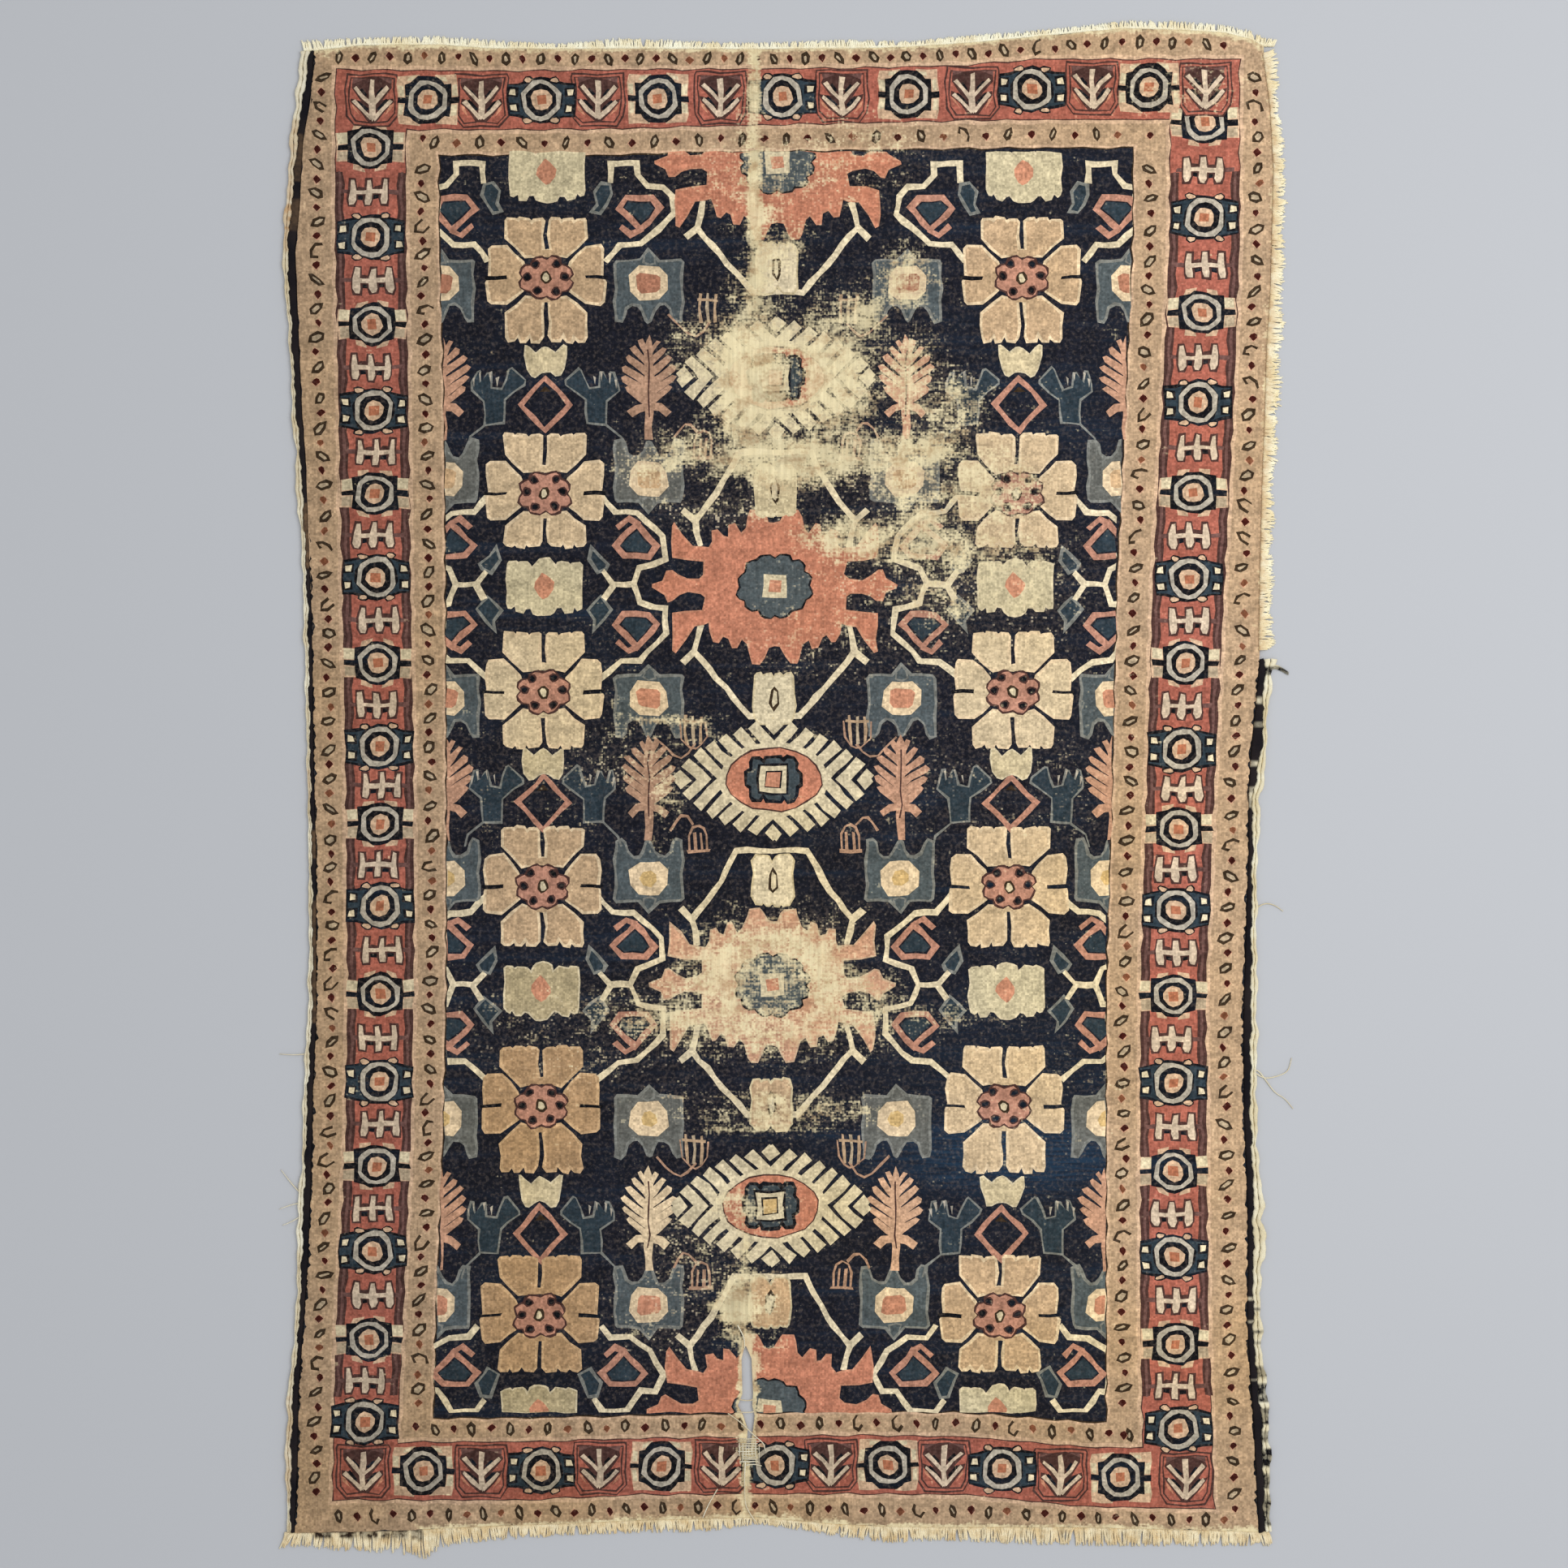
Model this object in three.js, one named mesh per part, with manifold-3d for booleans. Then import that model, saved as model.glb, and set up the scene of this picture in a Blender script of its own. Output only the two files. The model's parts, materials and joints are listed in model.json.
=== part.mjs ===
import * as THREE from 'three';
import { mergeVertices } from 'three/addons/utils/BufferGeometryUtils.js';
import Module from 'manifold-3d';

// A worn hand-knotted rug lying flat, its long side along Y, pile up.
// Millimetres, +Z up, the underside on z = 0. The group is centred on the origin at the end.

// Heights of the pieces above the floor
const rugThickness = 6;      // worn pile on its cotton foundation
const bindingHeight = 6.4;   // overcast edge, a little prouder than the pile
const cordHeight = 5;        // bare selvedge cord outside the overcasting
const backingHeight = 3.6;   // woven strip that the fringe and the frayed wefts grow from
const threadHeight = 1.8;    // one loose yarn lying on the floor

const seam = 0.3;            // between neighbouring pieces
const backingWidth = 3;
const roundedEdge = 1;       // chamfer along the bindings and cords

// Long sides, from the top end down: edge of the knotted cloth, then the widths outside it
const leftSide = [
  { y: 949, edge: -608, binding: 5, cord: 15 },
  { y: 912, edge: -610, binding: 9, cord: 11 },
  { y: 873, edge: -615, binding: 10, cord: 12 },
  { y: 833, edge: -622, binding: 8, cord: 10 },
  { y: 742, edge: -627, binding: 11, cord: 9 },
  { y: 688, edge: -632, binding: 11, cord: 8 },
  { y: 615, edge: -629, binding: 10, cord: 6 },
  { y: 542, edge: -626, binding: 9, cord: 4 },
  { y: 474, edge: -623, binding: 8, cord: 7 },
  { y: 426, edge: -619, binding: 7, cord: 7 },
  { y: 374, edge: -617, binding: 6, cord: 10 },
  { y: 311, edge: -615, binding: 5, cord: 5 },
  { y: 216, edge: -611, binding: 5, cord: 7 },
  { y: 17, edge: -608, binding: 5, cord: 5 },
  { y: -99, edge: -605, binding: 6, cord: 5 },
  { y: -225, edge: -605, binding: 5, cord: 6 },
  { y: -304, edge: -605, binding: 6, cord: 7 },
  { y: -386, edge: -609, binding: 7, cord: 7 },
  { y: -498, edge: -611, binding: 9, cord: 5 },
  { y: -550, edge: -613, binding: 9, cord: 10 },
  { y: -624, edge: -616, binding: 8, cord: 7 },
  { y: -708, edge: -622, binding: 6, cord: 6 },
  { y: -792, edge: -628, binding: 8, cord: 8 },
  { y: -876, edge: -629, binding: 9, cord: 9 },
  { y: -969, edge: -633, binding: 6, cord: 4 },
];

// The right side has lost its binding above y = 170, where the wefts stand out frayed
const frayedSide = [
  { y: 946, edge: 621, reach: 19 },
  { y: 880, edge: 630, reach: 14 },
  { y: 796, edge: 635, reach: 18 },
  { y: 644, edge: 631, reach: 19 },
  { y: 563, edge: 626, reach: 22 },
  { y: 489, edge: 624, reach: 21 },
  { y: 384, edge: 620, reach: 17 },
  { y: 258, edge: 617, reach: 19 },
  { y: 174, edge: 616, reach: 21 },
];
const rightSide = [
  { y: 162, edge: 615, binding: 7, cord: 18 },
  { y: 101, edge: 610, binding: 10, cord: 7 },
  { y: 48, edge: 604, binding: 15, cord: 7 },
  { y: -15, edge: 601, binding: 5, cord: 14 },
  { y: -88, edge: 601, binding: 5, cord: 8 },
  { y: -163, edge: 598, binding: 7, cord: 8 },
  { y: -309, edge: 594, binding: 10, cord: 10 },
  { y: -429, edge: 595, binding: 8, cord: 10 },
  { y: -508, edge: 598, binding: 9, cord: 10 },
  { y: -534, edge: 599, binding: 8, cord: 15 },
  { y: -582, edge: 600, binding: 7, cord: 19 },
  { y: -634, edge: 600, binding: 7, cord: 13 },
  { y: -687, edge: 599, binding: 8, cord: 11 },
  { y: -740, edge: 601, binding: 8, cord: 13 },
  { y: -824, edge: 607, binding: 11, cord: 12 },
  { y: -925, edge: 612, binding: 9, cord: 10 },
  { y: -968, edge: 614, binding: 8, cord: 9 },
];

// The two ends, from left to right: edge of the knotted cloth and the line of the fringe's tips
const topEnd = [
  { x: -608, edge: 949, tips: 963 },
  { x: -547, edge: 956, tips: 967 },
  { x: -447, edge: 957, tips: 969 },
  { x: -384, edge: 952, tips: 964 },
  { x: -294, edge: 951, tips: 959 },
  { x: -210, edge: 952, tips: 966 },
  { x: -48, edge: 951, tips: 960 },
  { x: 87, edge: 952, tips: 964 },
  { x: 162, edge: 954, tips: 962 },
  { x: 238, edge: 959, tips: 970 },
  { x: 323, edge: 967, tips: 976 },
  { x: 393, edge: 974, tips: 983 },
  { x: 444, edge: 978, tips: 989 },
  { x: 508, edge: 976, tips: 988 },
  { x: 572, edge: 972, tips: 983 },
  { x: 603, edge: 964, tips: 976 },
  { x: 621, edge: 955, tips: 966 },
];
const bottomEnd = [
  { x: -633, edge: -969, tips: -989 },
  { x: -567, edge: -968, tips: -992 },
  { x: -500, edge: -966, tips: -995 },
  { x: -466, edge: -965, tips: -1002 },
  { x: -432, edge: -963, tips: -984 },
  { x: -364, edge: -960, tips: -978 },
  { x: -264, edge: -957, tips: -972 },
  { x: -185, edge: -953, tips: -969 },
  { x: -101, edge: -951, tips: -968 },
  { x: -36, edge: -949, tips: -959 },
  { x: -1, edge: -952, tips: -963 },
  { x: 66, edge: -958, tips: -973 },
  { x: 133, edge: -961, tips: -982 },
  { x: 201, edge: -962, tips: -979 },
  { x: 353, edge: -962, tips: -985 },
  { x: 456, edge: -964, tips: -986 },
  { x: 614, edge: -968, tips: -986 },
];

// The tear near the bottom end, where the floor shows through
const tear = [
  { y: -728, left: -51, right: -49 },
  { y: -744, left: -55, right: -42 },
  { y: -790, left: -54, right: -40 },
  { y: -805, left: -60, right: -41 },
  { y: -818, left: -53, right: -38 },
  { y: -836, left: -47, right: -40 },
  { y: -861, left: -49, right: -44 },
];

// Locks of the fringe and of the frayed side
const lockPitch = 12.6;
const lockRootWidth = 8.6;
const lockTipWidth = 4.2;
const lockHeight = { least: 2.2, most: 3.2 };
const lockLength = { least: 0.72, most: 1.12 };   // times the distance to the line of tips
const lockSway = 2.2;
const lockLean = 0.16;                            // radians either side of straight out
const cornerLean = 0.55;                          // the last locks fan out round a corner
const cornerReach = 36;
const endOverhang = 14;                           // the end strips cover the selvedges' ends

// Loose yarns that have worked out of the selvedges, each from its root outwards
const looseYarnWidth = 2;
const looseYarnsRight = [
  { width: 7, path: [[628, 152], [640, 151], [654, 143]] },
  { width: looseYarnWidth, path: [[609, -169], [615, -159], [626, -155], [637, -158], [647, -165]] },
  { width: looseYarnWidth, path: [[609, -371], [617, -374], [635, -398], [649, -408], [660, -421]] },
  { width: looseYarnWidth, path: [[611, -375], [624, -381], [641, -378], [653, -371], [658, -355]] },
];
const looseYarnsLeft = [
  { width: looseYarnWidth, path: [[-618, -350], [-636, -351], [-654, -350]] },
  { width: looseYarnWidth, path: [[-626, -531], [-638, -518], [-652, -500]] },
  { width: looseYarnWidth, path: [[-627, -543], [-640, -546], [-654, -551]] },
  { width: looseYarnWidth, path: [[-627, -561], [-640, -568], [-650, -572]] },
];

const colours = {
  pile: 0x6f5f55,
  binding: 0x17161a,
  cord: 0xd9cfae,
  fringe: 0xdccb9c,
};

const wasm = await Module();
wasm.setup();

// Repeatable numbers between 0 and 1
function makeRandom(seed) {
  let state = seed;
  return () => {
    state = (state * 1664525 + 1013904223) % 4294967296;
    return state / 4294967296;
  };
}

function between(range, random) {
  return range.least + (range.most - range.least) * random();
}

// The value of one column of a table at a place along it, in a straight line between rows
function along(rows, axis, place, column) {
  const rising = rows.at(-1)[axis] > rows[0][axis] ? rows : rows.toReversed();
  const upper = rising.findIndex((row) => row[axis] >= place);
  if (upper === -1) return rising.at(-1)[column];
  if (upper === 0) return rising[0][column];
  const low = rising[upper - 1];
  const high = rising[upper];
  return low[column] + (high[column] - low[column]) * (place - low[axis]) / (high[axis] - low[axis]);
}

function shapeOf(points) {
  return new THREE.Shape(points.map(([x, y]) => new THREE.Vector2(x, y)));
}

function slab(shape, height) {
  return new THREE.ExtrudeGeometry(shape, { depth: height, bevelEnabled: false });
}

// A strip with its upper and lower edges taken off
function roundedStrip(shape, height) {
  const geometry = new THREE.ExtrudeGeometry(shape, {
    depth: height - 2 * roundedEdge,
    bevelEnabled: true,
    bevelThickness: roundedEdge,
    bevelSize: roundedEdge,
    bevelOffset: -roundedEdge,
    bevelSegments: 1,
  });
  return geometry.translate(0, 0, roundedEdge);
}

function toSolid(geometry) {
  const bare = geometry.clone();
  bare.deleteAttribute('normal');
  bare.deleteAttribute('uv');
  const merged = mergeVertices(bare);
  return new wasm.Manifold(new wasm.Mesh({
    numProp: 3,
    vertProperties: Float32Array.from(merged.attributes.position.array),
    triVerts: Uint32Array.from(merged.index.array),
  }));
}

function toGeometry(solid) {
  const mesh = solid.getMesh();
  const geometry = new THREE.BufferGeometry();
  geometry.setAttribute('position', new THREE.BufferAttribute(mesh.vertProperties, mesh.numProp));
  geometry.setIndex(new THREE.BufferAttribute(mesh.triVerts, 1));
  geometry.computeVertexNormals();
  return geometry;
}

// Joins what grows from a backing to that backing
function fuse(backing, grown) {
  const solid = grown.reduce((whole, geometry) => whole.add(toSolid(geometry)), toSolid(backing));
  return toGeometry(solid);
}

// The knotted cloth with its tear
function rugBody() {
  const shape = shapeOf([
    ...leftSide.map((row) => [row.edge, row.y]),
    ...bottomEnd.slice(1, -1).map((row) => [row.x, row.edge]),
    ...[...frayedSide, ...rightSide].toReversed().map((row) => [row.edge, row.y]),
    ...topEnd.slice(1).toReversed().map((row) => [row.x, row.edge]),
  ]);
  const hole = [
    ...tear.map((row) => [row.left, row.y]),
    ...tear.toReversed().map((row) => [row.right, row.y]),
  ];
  shape.holes.push(new THREE.Path(hole.map(([x, y]) => new THREE.Vector2(x, y))));
  return slab(shape, rugThickness);
}

// A strip beside a long side, between two distances outside the cloth's edge
function sideStrip(rows, outward, inner, outer) {
  return shapeOf([
    ...rows.map((row) => [row.edge + outward * inner(row), row.y]),
    ...rows.toReversed().map((row) => [row.edge + outward * outer(row), row.y]),
  ]);
}

function sideBinding(rows, outward) {
  const shape = sideStrip(rows, outward, () => seam, (row) => row.binding);
  return roundedStrip(shape, bindingHeight);
}

function selvedgeCord(rows, outward, looseYarns) {
  const inner = (row) => row.binding + seam;
  const outer = (row) => row.binding + row.cord;
  const cord = roundedStrip(sideStrip(rows, outward, inner, outer), cordHeight);
  return fuse(cord, looseYarns.map(looseYarn));
}

// One yarn lying along a path, four-sided, its tip narrower than its root
function looseYarn({ width, path }) {
  const points = path.map(([x, y]) => new THREE.Vector2(x, y));
  const sides = points.map((point, step) => {
    const before = points[Math.max(step - 1, 0)];
    const after = points[Math.min(step + 1, points.length - 1)];
    const ahead = after.clone().sub(before).normalize();
    const half = width * (0.5 - 0.15 * step / points.length);
    const across = new THREE.Vector2(-ahead.y, ahead.x).multiplyScalar(half);
    return { left: point.clone().add(across), right: point.clone().sub(across) };
  });
  const outline = [...sides.map((side) => side.right), ...sides.toReversed().map((side) => side.left)];
  return slab(new THREE.Shape(outline), threadHeight);
}

// One lock from its root outwards, tapered and swaying to one side, flat on the floor
function lock(root, heading, length, random) {
  const sway = lockSway * (2 * random() - 1);
  const half = lockRootWidth / 2;
  const tip = lockTipWidth / 2;
  const shape = shapeOf([
    [-backingWidth / 2, -half],
    [length * 0.5, sway * 0.3 - half * 0.8],
    [length, sway - tip],
    [length * 0.94, sway + tip],
    [length * 0.5, sway * 0.3 + half * 0.8],
    [-backingWidth / 2, half],
  ]);
  const geometry = slab(shape, between(lockHeight, random));
  return geometry.rotateZ(heading).translate(root[0], root[1], 0);
}

// Fringe across one end; outward is +1 at the top end and -1 at the bottom end
function endFringe(rows, outward, seed) {
  const random = makeRandom(seed);
  const first = rows[0].x - endOverhang;
  const last = rows.at(-1).x + endOverhang;
  const line = [
    [first, rows[0].edge],
    ...rows.map((row) => [row.x, row.edge]),
    [last, rows.at(-1).edge],
  ];
  const backing = shapeOf([
    ...line.map(([x, y]) => [x, y + outward * seam]),
    ...line.toReversed().map(([x, y]) => [x, y + outward * (seam + backingWidth)]),
  ]);
  const count = Math.round((last - first) / lockPitch);
  const pitch = (last - first) / count;
  const locks = Array.from({ length: count }, (_, index) => {
    const x = first + pitch * (index + 0.5);
    const root = along(rows, 'x', x, 'edge') + outward * (seam + backingWidth);
    const free = Math.abs(along(rows, 'x', x, 'tips') - root);
    const fan = Math.max(0, 1 - (x - first) / cornerReach) - Math.max(0, 1 - (last - x) / cornerReach);
    const lean = lockLean * (2 * random() - 1) + outward * fan * cornerLean;
    return lock([x, root], outward * Math.PI / 2 + lean, free * between(lockLength, random), random);
  });
  return fuse(slab(backing, backingHeight), locks);
}

// Weft ends standing out along the stretch that has lost its binding
function frayedWeft(seed) {
  const random = makeRandom(seed);
  const backing = sideStrip(frayedSide, 1, () => seam, () => seam + backingWidth);
  const top = frayedSide[0].y;
  const bottom = frayedSide.at(-1).y;
  const count = Math.floor((top - bottom) / lockPitch);
  const pitch = (top - bottom) / count;
  const locks = Array.from({ length: count }, (_, index) => {
    const y = bottom + pitch * (index + 0.5);
    const root = along(frayedSide, 'y', y, 'edge') + seam + backingWidth;
    const free = along(frayedSide, 'y', y, 'reach') - seam - backingWidth;
    const fan = Math.max(0, 1 - (top - y) / cornerReach);
    const lean = lockLean * (2 * random() - 1) + fan * cornerLean / 2;
    return lock([root, y], lean, free * between(lockLength, random), random);
  });
  return fuse(slab(backing, backingHeight), locks);
}

function piece(name, geometry, colour, roughness) {
  const material = new THREE.MeshStandardMaterial({ color: colour, roughness, metalness: 0 });
  const mesh = new THREE.Mesh(geometry, material);
  mesh.name = name;
  return mesh;
}

const rug = new THREE.Group();
rug.add(
  piece('rug_body', rugBody(), colours.pile, 0.95),
  piece('side_binding_left', sideBinding(leftSide, -1), colours.binding, 0.9),
  piece('side_binding_right', sideBinding(rightSide, 1), colours.binding, 0.9),
  piece('selvedge_cord_left', selvedgeCord(leftSide, -1, looseYarnsLeft), colours.cord, 0.9),
  piece('selvedge_cord_right', selvedgeCord(rightSide, 1, looseYarnsRight), colours.cord, 0.9),
  piece('frayed_weft_right', frayedWeft(11), colours.fringe, 0.9),
  piece('fringe_top', endFringe(topEnd, 1, 23), colours.fringe, 0.9),
  piece('fringe_bottom', endFringe(bottomEnd, -1, 37), colours.fringe, 0.9),
);

// The origin is on the floor under the middle of the whole rug
const middle = new THREE.Box3().setFromObject(rug).getCenter(new THREE.Vector3());
rug.position.set(-middle.x, -middle.y, 0);

export default rug;
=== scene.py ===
import json
import math
import random

import bpy
import numpy as np
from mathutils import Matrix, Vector
from mathutils.geometry import delaunay_2d_cdt

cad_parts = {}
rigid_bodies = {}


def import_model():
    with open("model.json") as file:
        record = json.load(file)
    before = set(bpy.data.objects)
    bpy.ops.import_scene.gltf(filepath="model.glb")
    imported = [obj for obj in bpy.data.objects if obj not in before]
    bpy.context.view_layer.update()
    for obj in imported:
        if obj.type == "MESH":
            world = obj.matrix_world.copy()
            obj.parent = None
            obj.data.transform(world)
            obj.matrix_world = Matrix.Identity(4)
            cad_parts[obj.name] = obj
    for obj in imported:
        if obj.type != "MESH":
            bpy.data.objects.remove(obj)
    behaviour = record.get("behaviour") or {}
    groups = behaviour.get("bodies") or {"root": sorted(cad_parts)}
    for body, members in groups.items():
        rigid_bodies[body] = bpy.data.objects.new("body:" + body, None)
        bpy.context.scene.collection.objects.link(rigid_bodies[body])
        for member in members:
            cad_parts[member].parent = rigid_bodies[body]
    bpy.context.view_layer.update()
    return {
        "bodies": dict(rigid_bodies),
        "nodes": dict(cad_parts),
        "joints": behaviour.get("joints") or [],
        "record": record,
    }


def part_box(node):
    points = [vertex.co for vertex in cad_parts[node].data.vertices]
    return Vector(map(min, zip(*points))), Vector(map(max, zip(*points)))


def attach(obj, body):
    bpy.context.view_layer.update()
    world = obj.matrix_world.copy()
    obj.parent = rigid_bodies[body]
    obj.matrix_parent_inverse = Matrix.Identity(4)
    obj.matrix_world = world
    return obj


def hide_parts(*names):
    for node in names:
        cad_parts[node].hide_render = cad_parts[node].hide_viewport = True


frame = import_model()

# A worn hand-knotted rug seen from straight above. The chart and the tables are in mm, from the
# middle of the chart; the frame's own origin lies a little aside from it.

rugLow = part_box("rug_body")[0]
lowerLeft = (-633, -969)    # that corner of the cloth in the chart
chartOrigin = (rugLow.x * 1000 - lowerLeft[0], rugLow.y * 1000 - lowerLeft[1])

pileHeight = 6
bindingHeight = 6.4         # the overcasting
cordHeight = 5              # the selvedge cords
backingHeight = 3.6         # the woven strips that the fringes hang from
backingWidth = 3
threadHeight = 1.8          # the loose yarns
seam = 0.3                  # between the cloth and the yarns round it

# Long sides from the top: y, edge of the cloth, width of the overcasting, width of the cord
leftSide = [
    (949, -608, 5, 15), (912, -610, 9, 11), (873, -615, 10, 12), (833, -622, 8, 10), (742, -627, 11, 9),
    (688, -632, 11, 8), (615, -629, 10, 6), (542, -626, 9, 4), (474, -623, 8, 7), (426, -619, 7, 7),
    (374, -617, 6, 10), (311, -615, 5, 5), (216, -611, 5, 7), (17, -608, 5, 5), (-99, -605, 6, 5),
    (-225, -605, 5, 6), (-304, -605, 6, 7), (-386, -609, 7, 7), (-498, -611, 9, 5), (-550, -613, 9, 10),
    (-624, -616, 8, 7), (-708, -622, 6, 6), (-792, -628, 8, 8), (-876, -629, 9, 9), (-969, -633, 6, 4),
]
rightSide = [
    (162, 615, 7, 18), (101, 610, 10, 7), (48, 604, 15, 7), (-15, 601, 5, 14), (-88, 601, 5, 8),
    (-163, 598, 7, 8), (-309, 594, 10, 10), (-429, 595, 8, 10), (-508, 598, 9, 10), (-534, 599, 8, 15),
    (-582, 600, 7, 19), (-634, 600, 7, 13), (-687, 599, 8, 11), (-740, 601, 8, 13), (-824, 607, 11, 12),
    (-925, 612, 9, 10), (-968, 614, 8, 9),
]
# The frayed stretch above it: y, edge of the cloth, reach of the weft ends
frayedSide = [
    (946, 621, 19), (880, 630, 14), (796, 635, 18), (644, 631, 19), (563, 626, 22), (489, 624, 21),
    (384, 620, 17), (258, 617, 19), (174, 616, 21),
]
# The two ends from the left: x, edge of the cloth, line of the fringe's tips
topEnd = [
    (-608, 949, 963), (-547, 956, 967), (-447, 957, 969), (-384, 952, 964), (-294, 951, 959),
    (-210, 952, 966), (-48, 951, 960), (87, 952, 964), (162, 954, 962), (238, 959, 970), (323, 967, 976),
    (393, 974, 983), (444, 978, 989), (508, 976, 988), (572, 972, 983), (603, 964, 976), (621, 955, 966),
]
bottomEnd = [
    (-633, -969, -989), (-567, -968, -992), (-500, -966, -995), (-466, -965, -1002), (-432, -963, -984),
    (-364, -960, -978), (-264, -957, -972), (-185, -953, -969), (-101, -951, -968), (-36, -949, -959),
    (-1, -952, -963), (66, -958, -973), (133, -961, -982), (201, -962, -979), (353, -962, -985),
    (456, -964, -986), (614, -968, -986),
]
# The tear: y, left and right edge
tear = [
    (-728, -51, -49), (-744, -55, -42), (-790, -54, -40), (-805, -60, -41), (-818, -53, -38),
    (-836, -47, -40), (-861, -49, -44),
]
clothOutline = (
    [(edge, y) for y, edge, *_ in leftSide] + [(x, edge) for x, edge, *_ in bottomEnd[1:-1]]
    + [(edge, y) for y, edge, *_ in reversed(frayedSide + rightSide)]
    + [(x, edge) for x, edge, *_ in reversed(topEnd[1:])]
)
tearOutline = [(left, y) for y, left, right in tear] + [(right, y) for y, left, right in reversed(tear)]
wholeRightSide = frayedSide + [row[:3] for row in rightSide]


def along(rows, place, column):
    # a column of a table read between its rows
    rows = sorted(rows)
    return float(np.interp(place, [row[0] for row in rows], [row[column] for row in rows]))


def anglesOf(corners, turn=0):
    return [2 * math.pi * (i + turn) / corners for i in range(corners)]


# The chart: shapes laid one over another, each drawn in knots from the middle of its motif

knot = 2.5          # mm, one square of the chart
dyes = {            # sRGB
    "midnight": (29, 30, 39), "indigo": (84, 92, 94), "dusk": (48, 60, 68), "steel": (66, 75, 79),
    "fog": (106, 106, 100), "slate": (128, 128, 121), "smoke": (182, 172, 155), "soot": (20, 20, 24),
    "madder": (200, 131, 103), "brick": (172, 100, 83), "coral": (204, 142, 112), "rust": (178, 122, 96),
    "rose": (188, 136, 114), "blush": (214, 164, 132), "straw": (208, 172, 130), "flax": (228, 202, 164),
    "dun": (183, 148, 110), "tan": (197, 166, 130), "wheat": (210, 183, 145), "pale": (215, 193, 156),
    "sand": (186, 156, 124), "peach": (208, 174, 142), "cream": (217, 201, 166), "milk": (228, 211, 176),
    "butter": (209, 191, 152), "sage": (206, 192, 156), "olive": (187, 170, 133), "umber": (79, 53, 48),
    "plum": (110, 78, 72), "wine": (66, 24, 18), "clay": (196, 150, 122), "fawn": (180, 142, 116),
    "apricot": (212, 169, 136), "amber": (212, 178, 120), "bark": (60, 46, 32), "pearl": (182, 162, 134),
    "russet": (124, 76, 52), "bone": (210, 188, 162), "fox": (178, 112, 82),
}
dyeNames = list(dyes)


class Chart:
    def __init__(self):
        self.points = []
        self.shapes = []
        self.dyes = []
        self.window = None          # mm, what is drawn outside it is cut off
        self.place(0, 0)

    def place(self, x, y, flipX=1, flipY=1):
        # where the next motif's middle lies, in mm
        self.x, self.y = x, y
        self.flipX, self.flipY = flipX, flipY

    def fill(self, dye, outline, mirror=1):
        across = self.flipX * mirror * knot
        up = self.flipY * knot
        self.lay(dye, [(self.x + across * u, self.y + up * v) for u, v in outline])

    def stroke(self, dye, path, width, mirror=1):
        self.fill(dye, ribbon(path, width), mirror)

    def rimmed(self, rim, dye, outline, width=1.0, mirror=1):
        self.fill(rim, outline, mirror)
        self.fill(dye, shrunk(outline, width), mirror)

    def lay(self, dye, outline):
        # an outline in mm, cut to the window and kept as a new shape on top of the others
        if self.window:
            outline = clipped(outline, self.window)
        if len(outline) < 3:
            return
        if signedArea(outline) < 0:
            outline = outline[::-1]
        outline = unsteady(outline)
        first = len(self.points)
        self.points += outline
        self.shapes.append(list(range(first, len(self.points))))
        self.dyes.append(dyeNames.index(dye))


def unsteady(outline):
    # long edges are parted and every point strays a little, as no two rows are beaten down alike
    longest = 17
    parted = []
    for (ax, ay), (bx, by) in zip(outline, outline[1:] + outline[:1]):
        parts = max(1, round(math.hypot(bx - ax, by - ay) / longest))
        parted += [(ax + (bx - ax) * part / parts, ay + (by - ay) * part / parts) for part in range(parts)]
    return [(x + 1.1 * math.sin(0.13 * y + 2.1 * math.sin(0.031 * x)) + 0.8 * math.sin(0.53 * y + 0.31 * x),
             y + 1.0 * math.sin(0.12 * x + 1.7 * math.sin(0.043 * y)) + 0.7 * math.sin(0.47 * x - 0.37 * y))
            for x, y in parted]


def signedArea(outline):
    return sum(a[0] * b[1] - b[0] * a[1] for a, b in zip(outline, outline[1:] + outline[:1])) / 2


def clipped(outline, window):
    # only what lies inside the window, one side of it after another
    left, right, bottom, top = window
    for axis, edge, side in ((0, left, 1), (0, right, -1), (1, bottom, 1), (1, top, -1)):
        kept = []
        for a, b in zip(outline, outline[1:] + outline[:1]):
            insideA = (a[axis] - edge) * side >= 0
            insideB = (b[axis] - edge) * side >= 0
            if insideA:
                kept.append(a)
            if insideA != insideB:
                share = (edge - a[axis]) / (b[axis] - a[axis])
                kept.append((a[0] + (b[0] - a[0]) * share, a[1] + (b[1] - a[1]) * share))
        outline = kept
        if len(outline) < 3:
            return []
    return outline


def offsetCorner(before, corner, after, distance):
    # the corner moved to the left of both its edges
    ax, ay = corner[0] - before[0], corner[1] - before[1]
    bx, by = after[0] - corner[0], after[1] - corner[1]
    lengthA = math.hypot(ax, ay) or 1
    lengthB = math.hypot(bx, by) or 1
    nx = -ay / lengthA - by / lengthB
    ny = ax / lengthA + bx / lengthB
    size = nx * nx + ny * ny
    if size < 0.3:              # so sharp a corner would shoot out
        return (corner[0] - ay / lengthA * distance, corner[1] + ax / lengthA * distance)
    return (corner[0] + 2 * nx / size * distance, corner[1] + 2 * ny / size * distance)


def shrunk(outline, distance):
    # every edge moved inwards, or outwards below nought
    turn = 1 if signedArea(outline) > 0 else -1
    count = len(outline)
    return [offsetCorner(outline[i - 1], outline[i], outline[(i + 1) % count], turn * distance)
            for i in range(count)]


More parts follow.
